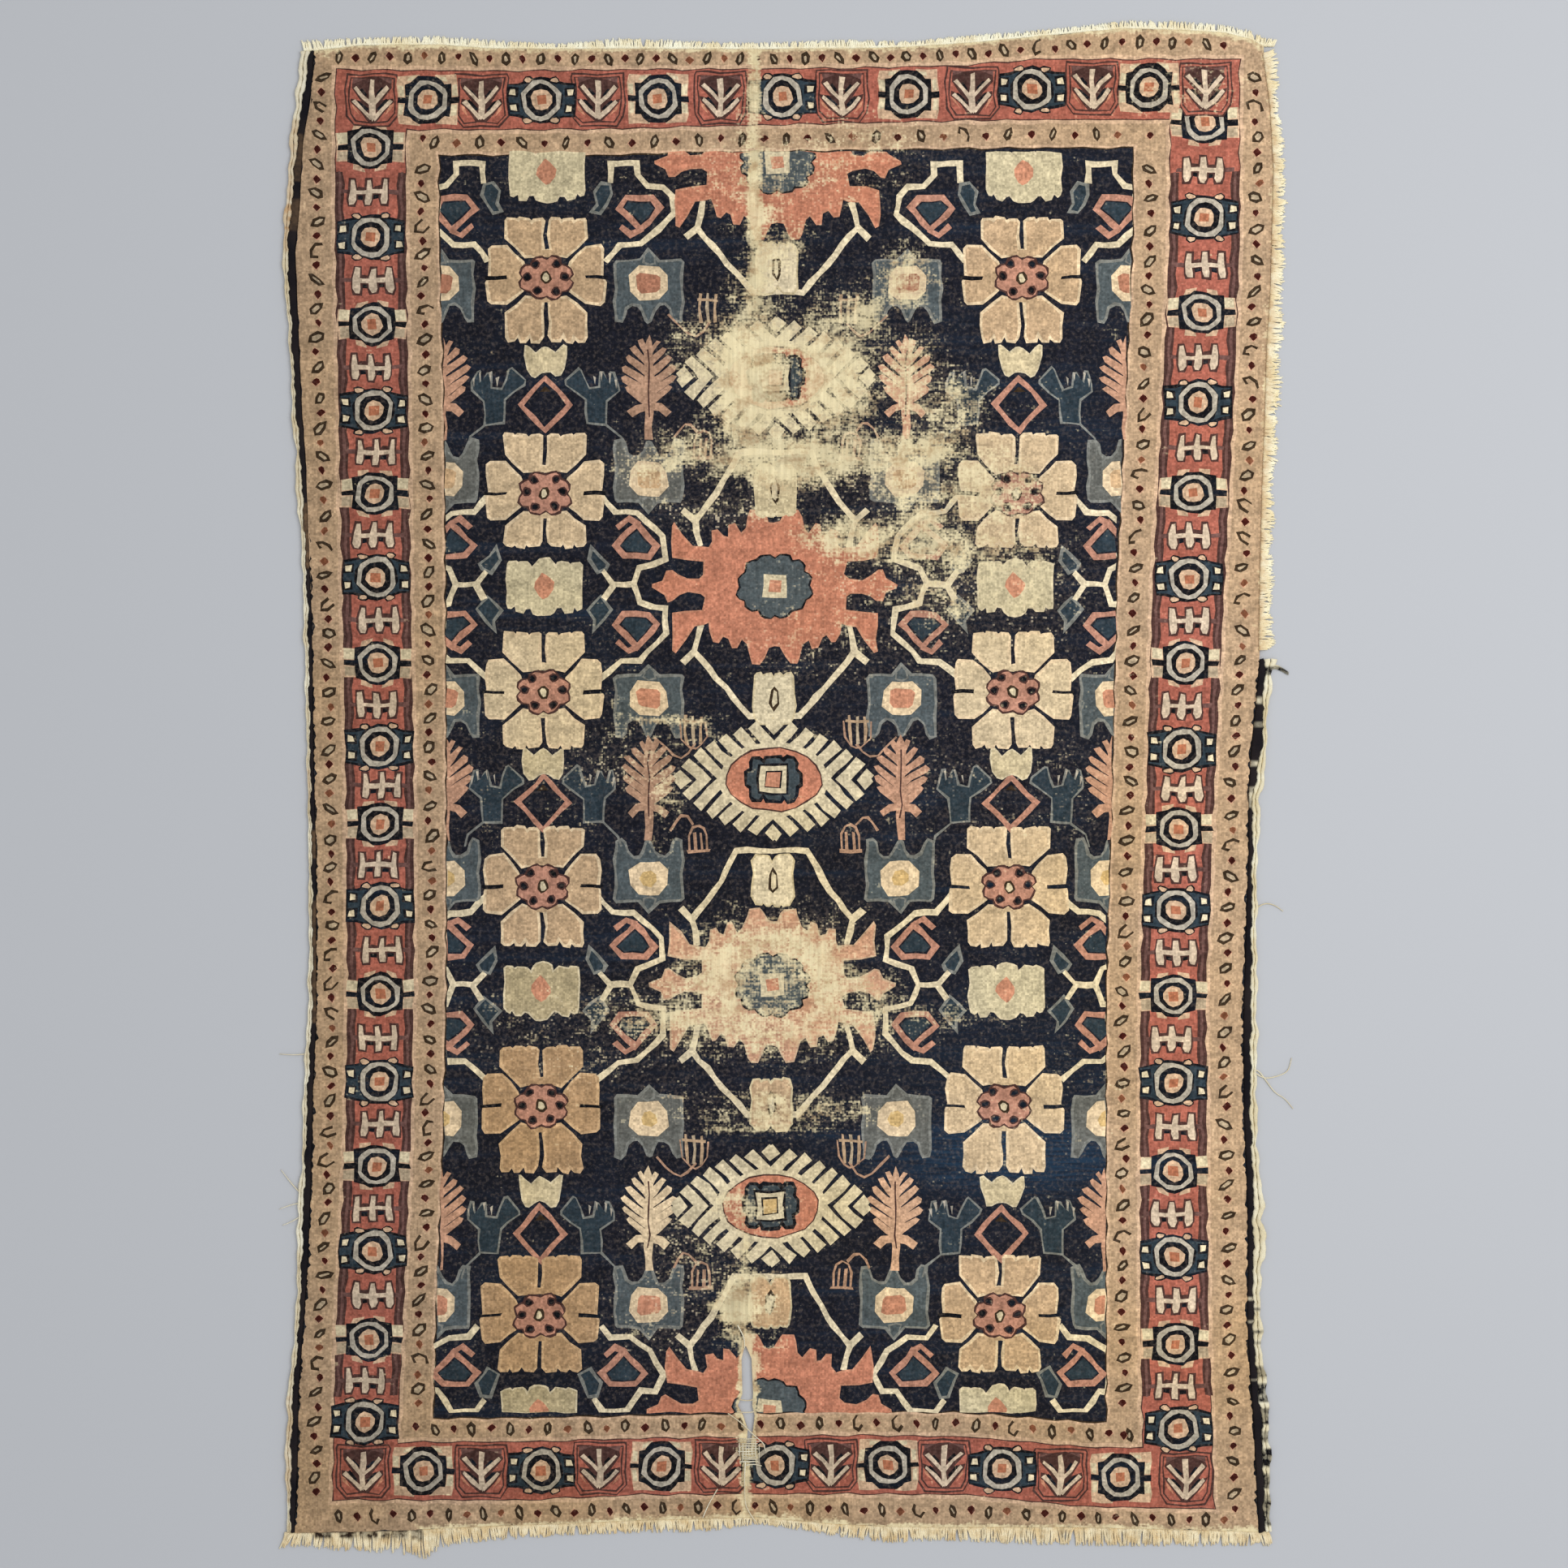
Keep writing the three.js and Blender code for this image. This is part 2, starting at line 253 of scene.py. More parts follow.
def ribbon(path, width):
    # the outline of a line of this width
    ahead = path[1:] + [(2 * path[-1][0] - path[-2][0], 2 * path[-1][1] - path[-2][1])]
    behind = [(2 * path[0][0] - path[1][0], 2 * path[0][1] - path[1][1])] + path[:-1]
    sides = [[offsetCorner(b, p, a, side * width / 2) for b, p, a in zip(behind, path, ahead)]
             for side in (1, -1)]
    return sides[0] + sides[1][::-1]


def mirrored(half):
    # a closed outline from its right half, given from the top to the bottom
    return half + [(-x, y) for x, y in reversed(half) if x > 0.01]


def block(left, bottom, right, top):
    return [(left, bottom), (right, bottom), (right, top), (left, top)]


def roundel(radiusX, radiusY, corners, centre=(0, 0)):
    return [(centre[0] + radiusX * math.cos(angle), centre[1] + radiusY * math.sin(angle))
            for angle in anglesOf(corners, 0.5)]


def lobed(radiusX, radiusY, lobes, depth):
    swell = (1 - depth, 1 - depth / 4, 1, 1 - depth / 4)
    return [(radiusX * swell[i % 4] * math.cos(angle), radiusY * swell[i % 4] * math.sin(angle))
            for i, angle in enumerate(anglesOf(4 * lobes))]


# The field's motifs

def flower(chart, x, y, drop, yarn, rim):
    # six petals round a dotted heart; drop is how much longer the lower petals are
    chart.place(x, y)
    upper = [(1, 15), (1, 29.5), (2.5, 31), (7, 31), (8, 30), (9, 31), (14, 31.5), (15, 30.3), (16, 31),
             (20.5, 31), (21.5, 29.5), (21.2, 20.5), (11.2, 10), (0, 12), (-0.2, 15)]
    lower = [(1, -13), (1, -26.5), (3, -29), (8, -29), (9, -27.3), (10.5, -29.4), (14, -29.4), (15, -27.6),
             (16.5, -29), (20, -29), (21.5, -27), (21.2, -17.5), (11, -8.6), (0, -11), (-0.2, -13)]
    shoulder = -14              # below it the lower petals are drawn out
    lower = [(u, v if v > shoulder else shoulder + (v - shoulder) * drop) for u, v in lower]
    side = [(9, 0), (12, 8.2), (20, 17), (28, 17), (30, 15), (30.5, 9), (29.5, 1), (31, -2), (30.5, -12),
            (28.5, -14), (20.5, -14), (12, -7)]
    for mirror in (-1, 1):
        for petal in (upper, lower, side):
            chart.rimmed(rim, yarn, petal, 1.4, mirror)
        chart.fill(yarn, [(-0.4, 11), (8, 11), (8, 14.5), (-0.4, 14.5)], mirror)
        chart.fill(yarn, [(-0.4, -10), (8, -10), (8, -13), (-0.4, -13)], mirror)
        chart.fill("soot", block(20, -0.8, 31.5, 1), mirror)
    chart.fill("umber", lobed(14.8, 12.4, 8, 0.17))
    chart.fill("rose", lobed(13.6, 11.2, 8, 0.17))
    for spot in ((-6, 7.2), (5.8, 7), (9.4, 0.8), (4.8, -6.8), (-4.8, -6.8), (-9.4, 0.8)):
        chart.fill("umber", roundel(2.6, 2.4, 8, spot))
        chart.fill("soot", roundel(1.8, 1.6, 6, spot))
    chart.fill("bark", roundel(2.9, 3.6, 8))
    chart.fill("cream", roundel(1.6, 2.3, 8))


def palmette(chart, x, y, body, rim):
    # a serrated palmette lying on its side, as tall as it is deep, with a leaf at each end
    chart.place(x, y)
    above = [(0, 32.5), (2.5, 33.5), (4.5, 37.5), (6.5, 39.5), (12.5, 39.5), (13.5, 36), (15, 30),
             (17.5, 27.5), (20.5, 32.5), (23.5, 32), (24.5, 26), (27, 26.5), (29, 29.5), (32.5, 29),
             (32.5, 23), (34.5, 20), (38, 20.5), (42.5, 21), (52.5, 33), (53.5, 31), (53.5, 14.5),
             (46, 13.5), (37, 12.5), (36.5, 6), (39, 4), (45, 3.5), (50, 6), (53.5, 8.5), (56, 8),
             (57.5, 3.5), (63.5, 1)]
    below = [(63.5, -1), (57.5, -4), (56, -8), (53, -8), (49.5, -5), (45, -3.5), (39, -4), (36.5, -5.5),
             (37, -12), (46, -13), (53, -14.5), (53, -33.5), (51, -34.5), (42, -21), (37.5, -20.5),
             (34.5, -19.5), (33.5, -24), (31.5, -29), (29, -29), (26.5, -25.5), (24, -27), (22.5, -32),
             (19.5, -32.5), (17, -28), (14.5, -30), (12.8, -38), (11.5, -40.5), (7.5, -40.5), (5.5, -37),
             (3, -32), (0, -31)]
    chart.rimmed(rim, body, mirrored(above + below), 0.9)
    chart.rimmed("soot", "indigo", lobed(20.3, 17.3, 12, 0.1), 0.9)
    chart.fill("cream", block(-6.2, -5.8, 6.2, 5.8))
    chart.fill("coral", block(-3.2, -3, 3.2, 3))


def archLines(chart, x, y, upDown, spread, reach):
    # the angular cream line from a palmette's corners round the goblet
    chart.place(x, y, 1, upDown)
    for mirror in (-1, 1):
        chart.stroke("milk", [(38.5, 20.5), (41.5, 34), (30, 48), (spread, reach), (-0.5, reach)], 3, mirror)
        chart.stroke("milk", [(40.5, 33), (47.5, 39.5)], 3.6, mirror)


def goblet(chart, x, y, upDown, inner):
    # a waisted cup with a slit in it
    chart.place(x, y, 1, upDown)
    half = [(0, 10.5), (1.5, 12.8), (3, 14), (8.5, 14), (10, 12), (11, 10.5), (11, -8.5), (10, -11.5),
            (9, -13), (6, -13.5), (5, -12.5), (3.5, -13.5), (1, -13.5), (0, -12)]
    chart.rimmed("butter", inner, mirrored(half), 0.9)
    chart.fill("bark", [(0, 7), (2.4, 3), (2.2, -4), (0, -6.4), (-2.2, -4), (-2.4, 3)])
    chart.fill("cream", [(0, 4.8), (1.3, 2.4), (1.1, -3), (0, -4.6), (-1.1, -3), (-1.3, 2.4)])


def lozenge(chart, x, y, heart):
    # slanting bars feathered round an oval, each cut off square at its outer end
    halfWidth, halfHeight, bulge = 51, 29.8, 1.5
    bars, firstBar, pitch = 8, 46.5, 10.5
    half, foot = 3.95, 9        # half a bar's thickness, and how far a bar runs in under the oval
    for flipX in (-1, 1):
        for flipY in (-1, 1):
            chart.place(x, y, flipX, flipY)
            for step in range(bars):
                across = firstBar - pitch * step         # u - v along a bar
                u, v = max(across, 0), max(-across, 0)
                reach = 0
                while ((reach + u) / halfWidth) ** bulge + ((reach + v) / halfHeight) ** bulge < 1:
                    reach += 0.25
                endU, endV = u + reach, v + reach
                bar = [(u - foot + half, v - foot), (endU + half / 2, endV - half / 2),
                       (endU - half / 2, endV + half / 2), (u - foot, v - foot + half)]
                chart.fill("cream", clipped(bar, (0, 99, 0, 99)))
    chart.place(x, y)
    chart.fill("cream", roundel(28.5, 19.5, 20))
    chart.fill("umber", roundel(25.2, 16.8, 20))
    chart.fill("madder", roundel(24.4, 16, 20))
    ring = mirrored([(0, 12.6), (4.5, 12.6), (5.5, 11), (7, 12.4), (11.5, 12), (13.4, 9), (13, 5.5),
                     (15, 3.5), (15, -3.5), (13, -5), (13.4, -9), (11.5, -12), (7, -12.4), (5.5, -10.6),
                     (4.5, -12.4), (0, -12.4)])
    chart.rimmed("soot", "steel", ring, 1.8)
    chart.fill("soot", block(-8.4, -8, 7.8, 8.2))
    chart.fill("cream", block(-7.2, -6.8, 6.6, 7))
    chart.fill("soot", block(-4.6, -4.4, 4, 4.6))
    chart.fill(heart, block(-3.8, -3.6, 3.2, 3.8))


def shield(chart, x, y, upDown, body, heart):
    # a blue shield with three spikes at one end and a small peak at the other
    chart.place(x, y, 1, upDown)
    half = [(0, 20.5), (1.6, 19.5), (3.6, 14.5), (5.4, 12), (8, 11.6), (10.4, 13.6), (12, 18.4), (13.8, 21),
            (17.8, 20), (18, 16), (18, -10.6), (16.6, -12.4), (5.2, -12.6), (0, -18.4)]
    chart.rimmed("slate", body, mirrored(half), 1.5)
    chart.stroke("slate", [(2.5, -13.6), (3, -10.6), (0, -9.4), (-3, -10.6), (-2.5, -13.6)], 0.9)
    chart.fill("flax", [(-10, -3.6), (-5.4, -8.8), (5, -8.8), (9.8, -3.8), (9.8, 4), (5.2, 8.6), (-5, 8.8),
                        (-9.8, 4.4)])
    if heart == "amber":
        chart.fill(heart, roundel(4.6, 4.4, 7))
    else:
        chart.fill(heart, [(-6.2, -3.4), (-4, -5), (4.4, -4.8), (6.2, -3), (6, 3.4), (3.6, 5), (-4.2, 4.8),
                           (-6, 3)])


def bell(chart, x, y, side, upDown, kind):
    # a small comb of teeth, hung from the shield by a thin bent stem
    chart.place(x, y, side, upDown)
    if kind == "dome":
        chart.stroke("fawn", [(-2.6, 6.6), (-6, 10.6), (-9, 11), (-11.6, 8.2), (-14.5, 3.5)], 1.3)
        chart.stroke("fawn", [(-4.4, -6.4), (-4.6, 1.4), (-3, 5.4), (0, 6.8), (3, 5.4), (4.6, 1.4),
                              (4.4, -6.4)], 1.1)
        for u in (-1.7, 1.7):
            chart.fill("fawn", block(u - 0.7, -6.4, u + 0.7, 3))
        chart.fill("fawn", block(-5.8, -7.6, 5.8, -6))
        return
    chart.stroke("fawn", [(1, 6.4), (-3, 11.4), (-6.4, 13.6), (-10.6, 12.4), (-14.6, 8.4), (-20, 3)], 1.1)
    for u, yarn in ((-4.2, "sand"), (0, "pearl"), (4.2, "sand")):
        chart.fill(yarn, [(u - 0.7, -8), (u + 0.7, -8), (u * 0.86 + 0.8, 7), (u * 0.86 - 0.8, 7)])
    chart.fill("sand", block(-5.8, -5.6, 5.8, -4.4))
    if kind == "rake":
        chart.stroke("fawn", [(-7, -5), (-6.4, 4), (-2, 8.4), (1, 9), (4, 7.4), (6.6, 3), (6.8, -5)], 0.9)


def leaf(chart, x, y, yarn):
    # slanting leaflets up both sides of a stem, apart at their tips
    chart.place(x, y)
    leaflets = ((14, 4.6, 7), (9.4, 8.2, 8), (4.4, 11.4, 8.6), (-0.8, 13.4, 8.8), (-5.6, 13, 8.2),
                (-10.4, 11.2, 7.4))
    for mirror in (-1, 1):
        for foot, reach, rise in leaflets:
            chart.fill(yarn, [(0, foot - 3), (reach * 0.45, foot + rise * 0.45 - 2.6),
                              (reach - 0.2, foot + rise - 2.2), (reach + 1, foot + rise),
                              (reach - 1.2, foot + rise + 1.2), (reach * 0.45 - 1, foot + rise * 0.45 + 1.3),
                              (0, foot + 2)], mirror)
        chart.stroke(yarn, [(1, -12.4), (6, -13.4), (9.8, -16.8)], 4, mirror)
    chart.fill(yarn, [(-2, -29.6), (2, -29.6), (2.4, 16), (1.6, 21), (0, 25), (-1.6, 21), (-2.4, 16)])
    chart.fill("umber", block(-0.4, -18, 0.4, 17))


def sidePalmette(chart, x, y, yarn):
    # the squarish greenish palmette between two flowers
    chart.place(x, y)
    half = [(0, 14.8), (3, 14.4), (5, 12.8), (6.2, 10.6), (7.4, 12), (9, 13), (13, 12.6), (14, 12),
            (15, 12.8), (18.5, 12.6), (20, 11.4), (19.4, 4), (20, -9), (19, -11.5), (17, -12.4), (15.6, -11),
            (14.2, -13.6), (10.5, -13.9), (9, -11.6), (7, -11.6), (5.2, -14), (3, -15.4), (0, -15.6)]
    chart.rimmed("cream", yarn, mirrored(half), 0.9)
    chart.fill("coral", [(-0.5, 7.4), (2, 5.4), (4.6, 1.8), (4.2, -1.6), (1.5, -5.2), (-0.6, -6.4),
                         (-3, -4.6), (-5.4, -0.6), (-4.8, 2.4), (-2.4, 5.4)])


def crown(chart, x, y):
    # a small three-pointed cup over the diamond
    chart.place(x, y)
    half = [(0, 7.5), (2, 6.8), (5, 4.2), (8, 6.8), (9.6, 8), (11.2, 7.6), (11, 2), (9.8, -5), (8, -8.4),
            (5.6, -8.6), (2.6, -6.4), (0, -6)]
    chart.rimmed("cream", "butter", mirrored(half), 0.7)


def diamondWithHands(chart, x, y):
    chart.place(x, y)
    chart.fill("rose", [(0, 15.6), (14.6, 0), (0, -15.6), (-14.6, 0)])
    chart.fill("midnight", [(0, 11.8), (11, 0), (0, -11.8), (-11, 0)])
    chart.fill("bark", [(0, 9.6), (3, 6.5), (-3, 6.5)])
    hand = [(17.4, 19.6), (10, 12.6), (10.2, 10), (20.4, 2), (21, -10.4), (31.8, -10.8), (32.3, 2),
            (38.4, 7), (38, 11), (36, 17), (33.6, 17.4), (33, 11), (30.6, 16.6), (28, 17), (27, 9.5),
            (22.8, 8.6), (19.2, 18.6)]
    for mirror in (-1, 1):
        chart.rimmed("slate", "dusk", hand, 1, mirror)
        for u, v in ((25, 13), (28.8, 15.5), (33.8, 15), (36.6, 12)):
            chart.fill("smoke", [(u, v - 3.4), (u + 1, v + 1), (u - 0.4, v + 1.6)], mirror)
        chart.stroke("slate", [(31.4, -10.5), (39, -17), (40.5, -23)], 1.1, mirror)


def vine(chart, x, y, side):
    # the cream stem between two flowers, with hooked drops and small leaves round its fork
    chart.place(x, y, side)
    chart.rimmed("slate", "dusk", [(24, 21.5), (34.5, 11.5), (32.5, 8), (27, 6), (22.6, 13.5)], 1.6)
    chart.rimmed("slate", "dusk", [(29.8, -4.5), (35.5, -12), (24.9, -24.8), (25.4, -18), (21, -12.4)], 1.4)
    width = 2.9
    chart.stroke("milk", [(28.5, 47.5), (36.5, 38.5), (48, 37.8), (61.5, 25.5), (62.6, 14), (49, 9), (46, 1),
                          (49.5, -9), (62.5, -11.5), (63, -24.5), (49.5, -38.5), (39.5, -39), (28.5, -48.5)],
                 width)
    chart.stroke("milk", [(47, 1), (35, 1)], width)
    chart.stroke("milk", [(30, 7.5), (35.6, 0.6), (31.4, -7)], width)
    for flipY in (1, -1):
        hookedDrop(chart, x + side * 47.5 * knot, y + (0.5 + flipY * 22) * knot, side, flipY)


def topVine(chart, x, y, side):
    # at the top of the field the stem bends over under the border
    chart.place(x, y, side)
    chart.stroke("milk", [(31, -47), (37.4, -38), (49, -37.8), (66, -22), (65, -13.2), (60, -8.6),
                          (51.7, -7.6), (47, -1.8), (47, 4), (33, 4), (33.2, -6)], 3.1)
    chart.rimmed("slate", "dusk", [(24, -10.5), (28, -5), (33.6, -6), (34.4, -12), (28, -22.6), (22, -21.6),
                                   (24.6, -17)], 1.5)
    hookedDrop(chart, x + side * 48 * knot, y - 20.8 * knot, side, -1)


def bottomVine(chart, x, y, side):
    # and at the bottom it ends in a bowl
    chart.place(x, y, side)
    chart.stroke("milk", [(31.8, 42.7), (36.8, 36.4), (46.5, 36.2), (57, 29.7), (64.6, 17.6), (60, 8.4),
                          (52.8, 8.6), (45, -2), (33.2, -2), (27.6, 4.4)], 2.9)
    chart.rimmed("slate", "dusk", [(20, 17.8), (26.6, 21.6), (33.4, 12.6), (30, 5), (24.4, 5), (22, 13.8)],
                 1.5)
    hookedDrop(chart, x + side * 43.4 * knot, y + 19.4 * knot, side, 1)


def hookedDrop(chart, x, y, flipX, flipY):
    # a ringed drop with a hook at its tip
    chart.place(x, y, flipX, flipY)
    ring = [(-11, -1.5), (-6.4, -7), (6.4, -7), (11, -1.8), (0.6, 9.6)]
    chart.fill("rose", shrunk(ring, -1.5))
    chart.fill("midnight", shrunk(ring, 1.5))
    chart.fill("dusk", shrunk(ring, 2.3))
    chart.stroke("rose", [(1.6, 9.4), (-4, 12.2), (-9.6, 7.4)], 2.8)


# The borders' motifs

def darkRosette(chart, x, y, upright):
    # a black eight-sided ground on pale corners; upright is the kind along the long sides
    chart.place(x, y)
    for mirror in (-1, 1):
        if upright:
            chart.fill("peach", block(11, -7.6, 17.8, 7.6), mirror)
            chart.fill("cream", block(11.6, 2, 17.2, 7.4), mirror)
            chart.fill("pearl", block(11.6, -7, 17, -2), mirror)
            for flip in (-1, 1):
                corner = ((2.6, 12.4), (8.4, 11.4), (9, 8.4), (3.4, 8.6))
                chart.fill("peach", [(u, v * flip) for u, v in corner], mirror)
            chart.fill("soot", block(11, -1.4, 17.4, 1.4), mirror)
        else:
            chart.fill("peach", [(4, 13), (15, 12.8), (15.6, 8), (15.6, -8), (15, -12.8), (4, -13)], mirror)
            chart.fill("cream", block(12.4, 2.2, 15, 7.8), mirror)
            chart.fill("cream", block(12.4, -7.8, 15, -2.2), mirror)
            chart.fill("cream", [(5.4, 12.4), (9.6, 12), (10.2, 9.8), (7.2, 10.2)], mirror)
            chart.fill("soot", block(11, -1.4, 16, 1.3), mirror)
    if upright:
        chart.fill("soot", mirrored([(0, 11.2), (3.6, 10.8), (6.2, 9.2), (11.8, 8.5), (11.8, -8.2), (6.2, -9),
                                     (3.6, -10.8), (0, -11.2)]))
    else:
        chart.fill("soot", mirrored([(0, 12.5), (4.6, 12.4), (7.4, 10.2), (8.8, 8.7), (12, 8.3), (12, -8.3),
                                     (8.8, -8.7), (7.4, -10.2), (4.6, -12.4), (0, -12.5)]))
    rosetteRings(chart, 9.2 if upright else 9.9)


def rosetteRings(chart, high):
    # a pale ring with upright sides round the dark one, the disc and the small square heart
    ring = mirrored([(0, 1.03), (4.4, 0.95), (8.3, 0.62), (9.8, 0.4), (9.8, -0.4), (8.3, -0.62), (4.4, -0.95),
                     (0, -1.03)])
    for dye, share in (("smoke", 1), ("soot", 0.77)):
        chart.fill(dye, [(u * share, v * high * share) for u, v in ring])
    chart.fill("peach", roundel(5.3, 5.4, 10))
    chart.fill("fox", roundel(3.4, 3.4, 4))


def blueRosette(chart, x, y):
    # the same on a blue ground with wings
    chart.place(x, y)
    chart.fill("soot", mirrored([(0, 12), (3.6, 11.4), (12.2, 9.2), (17.6, 8.4), (17.6, -8.4), (12.2, -9.2),
                                 (3.6, -11.4), (0, -12)]))
    chart.fill("dusk", mirrored([(0, 11), (11.6, 8), (16.8, 7.4), (16.8, -7.4), (11.6, -8), (0, -11)]))
    for mirror in (-1, 1):
        for v in (-4.2, 4.2):
            chart.fill("soot", block(11.8, v - 2.5, 17.2, v + 2.5), mirror)
            chart.fill("milk", block(13.1, v - 1.5, 16.1, v + 1.5), mirror)
        for v in (-10.8, 10.6):
            chart.fill("soot", roundel(3, 2, 8, (7.2, v)), mirror)
            chart.fill("peach", roundel(2.2, 1.2, 8, (7.2, v)), mirror)
    chart.fill("soot", roundel(11.2, 11.2, 12))
    rosetteRings(chart, 10.2)


def rosette(chart, x, y, index, upright):
    # dark and blue ones take turns
    if index % 2:
        blueRosette(chart, x, y)
    else:
        darkRosette(chart, x, y, upright)


def comb(chart, x, y, shift):
    # three short uprights tied by a bar, on brick red between two rosettes
    chart.place(x, y)
    chart.fill("plum", block(-15, -1, 15, 1.2))
    chart.place(x + shift * knot, y)
    for u in (-4.2, 4.2):
        chart.fill("umber", [(u - 2.8, 1), (u - 1.6, 3), (u + 1.6, 3), (u + 2.8, 1)])
        chart.fill("soot", [(u - 3, -0.8), (u - 1.6, -3.8), (u + 1.6, -3.8), (u + 3, -0.8)])
    for rim, dye in ((1, "umber"), (0, "bone")):
        chart.fill(dye, block(-8.6, -1.1 - rim * 0.6, 8.6, 1.1 + rim * 0.6))
        for u in (-8.4, 0, 8.4):
            chart.fill(dye, [(u - 1 - rim, 6.4 + rim), (u - 1.7 - rim, 1), (u - 1.9 - rim, -4),
                             (u - 1.2 - rim, -6.4 - rim), (u + 1.2 + rim, -6.4 - rim), (u + 1.9 + rim, -4),
                             (u + 1.6 + rim, 1), (u + 1.1 + rim, 6.4 + rim)])


def arrow(chart, x, y):
    # a branching stem that points down, in a frame with cut corners
    chart.place(x, y)
    frame = mirrored([(0, 13.6), (13.4, 13.6), (14, 11.5), (14, -8.4), (9.6, -14), (0, -14)])
    chart.rimmed("umber", "brick", frame, 0.9)
    for dye, inset in (("umber", 2), ("brick", 2.8)):
        chart.fill(dye, shrunk(frame, inset))
    chart.fill("plum", block(-10.4, 8.4, 10.4, 11.2))
    chart.fill("umber", mirrored([(3, 11.4), (10.4, 8.4), (10.6, 6), (5.4, -0.6), (10.8, 0.6), (10.8, -1.6),
                                  (2.6, -11), (0, -12)]))
    for mirror in (1, -1):
        chart.fill("coral", [(6.4, -8.4), (10, -5), (10.6, -2.6), (9, -3.6)], mirror)
    for mirror in (-1, 1):
        chart.stroke("soot", [(2.6, -5.4), (7.4, -0.6)], 1.7, mirror)
        chart.stroke("soot", [(2.4, 2.2), (5.6, 5.6)], 1.4, mirror)
        chart.stroke("bone", [(0.4, -9.9), (9.4, -0.7)], 2, mirror)
        chart.stroke("bone", [(0.4, -2.2), (8.8, 6.6)], 2, mirror)
    chart.fill("bone", mirrored([(1.3, 10.2), (1.5, -7.5), (0, -11)]))


def seedOval(chart, x, y, slant, long, flat, broken):
    # a broken one has lost part of its dark rim
    chart.place(x, y)
    upright = [(long * 1.1, 0.5), (long * 0.4, flat), (-long * 0.6, flat * 0.8),
               (-long * 1.1, -0.5), (-long * 0.4, -flat), (long * 0.6, -flat * 0.8)]
    outline = [(u * math.cos(slant) - v * math.sin(slant), u * math.sin(slant) + v * math.cos(slant))
               for u, v in upright]
    if broken:
        chart.stroke("bark", outline[1:] if long > 4 else outline[:5], 1.4)
    else:
        chart.rimmed("bark", "pearl", outline, 1.4)


def seedDot(chart, x, y, faded):
    chart.place(x, y)
    chart.fill("clay", [(0, 2.6), (2.4, 0), (0, -2.6), (-2.4, 0)])
    chart.fill("russet" if faded else "wine", [(0, 2.1), (1.4, 1.3), (1.9, 0), (0, -2.1), (-1.9, 0),
                                               (-1.3, 1.4)])


# Where the bands of the border run, in mm from the middle of the chart

leftBands = [       # from the top: where the main border, the inner guard and the field begin
    (711, -581, -489, -445), (489, -576.5, -486, -439), (258, -572, -483, -437), (6, -567, -479, -436),
    (-264, -565, -479, -436), (-456, -567, -483, -440), (-689, -579, -492.5, -449.5),
    (-824, -585, -500, -452.5),
]
rightBands = [
    (711, 590, 499, 450.5), (489, 582, 489, 441), (258, 570, 477, 429.5), (6, 557.5, 469.5, 424),
    (-264, 546, 461, 416), (-456, 547, 461, 416), (-689, 549, 461, 416), (-824, 557.5, 464, 416),
]
topBands = [        # from the left
    (-547, 925, 846, 812.5), (-344, 923, 846, 812.5), (-210, 925, 847, 812.5), (-149, 925, 849.5, 816),
    (87, 927, 854.5, 819), (238, 930.5, 858, 821), (323, 938.5, 859, 822), (444, 944, 859, 822),
    (572, 938.5, 859, 822),
]
bottomBands = [
    (-547, -927, -851, -820), (-331, -927, -850.5, -819), (-185, -920, -846, -816),
    (100, -919, -842, -810.5), (235, -920, -844, -812.5), (386, -935.5, -857, -824),
    (508, -938.5, -859, -826),
]
mainBorder, innerGuard, field = 1, 2, 3


def halfway(rows, place, first, second):
    # the middle between where two bands begin
    return (along(rows, place, first) + along(rows, place, second)) / 2


def bandCorner(sideRows, endRows, column):
    height = 900 if endRows is topBands else -900
    y = along(endRows, along(sideRows, height, column), column)
    return (along(sideRows, y, column), y)


def bandOutline(column, inset):
    # the closed line where a band begins, from the top left corner down and round
    sideReach, endReach = 800, 400      # rows farther out give way to the corners
    left, right = ([(row[column], row[0]) for row in rows if abs(row[0]) < sideReach]
                   for rows in (leftBands, rightBands[::-1]))
    bottom, top = ([(row[0], row[column]) for row in rows if abs(row[0]) < endReach]
                   for rows in (bottomBands, topBands[::-1]))
    return shrunk([bandCorner(leftBands, topBands, column), *left,
                   bandCorner(leftBands, bottomBands, column), *bottom,
                   bandCorner(rightBands, bottomBands, column), *right,
                   bandCorner(rightBands, topBands, column), *top], inset)


def sideLine(rows, column, start, end, shift):
    # points down one side between two heights
    inside = [row[0] for row in rows if end < row[0] < start]
    return [(along(rows, y, column) + shift, y) for y in [start, *inside, end]]


# Seeds in the guards: bands, edge of the cloth, then for the outer and the inner line of seeds the
# pitch and the first and last height
sideGuards = [
    (leftBands, leftSide, (37.9, 915, -925), (37.6, 795, -790)),
    (rightBands, wholeRightSide, (40, 915, -925), (39.6, 795, -790)),
]
sideSlants = (-0.6, 0.25, 0.5, 0.7)
endGuards = [       # the same along the ends from the left, and how the ovals slant
    (topBands, topEnd, (43, -575, 570), (57, -452, 462), (-1, -1.2, 1, 1.3, 1.5)),
    (bottomBands, bottomEnd, (47, -575, 570), (50, -452, 462), (1.3, 1.5, 1.6, 1.8)),
]
cornerDots = [(leftBands, 836), (rightBands, 840), (leftBands, -832), (rightBands, -842)]


def guardMiddle(rows, edge, place, outer):
    if outer:
        return (along(edge, place, 1) + along(rows, place, mainBorder)) / 2
    return halfway(rows, place, innerGuard, field)


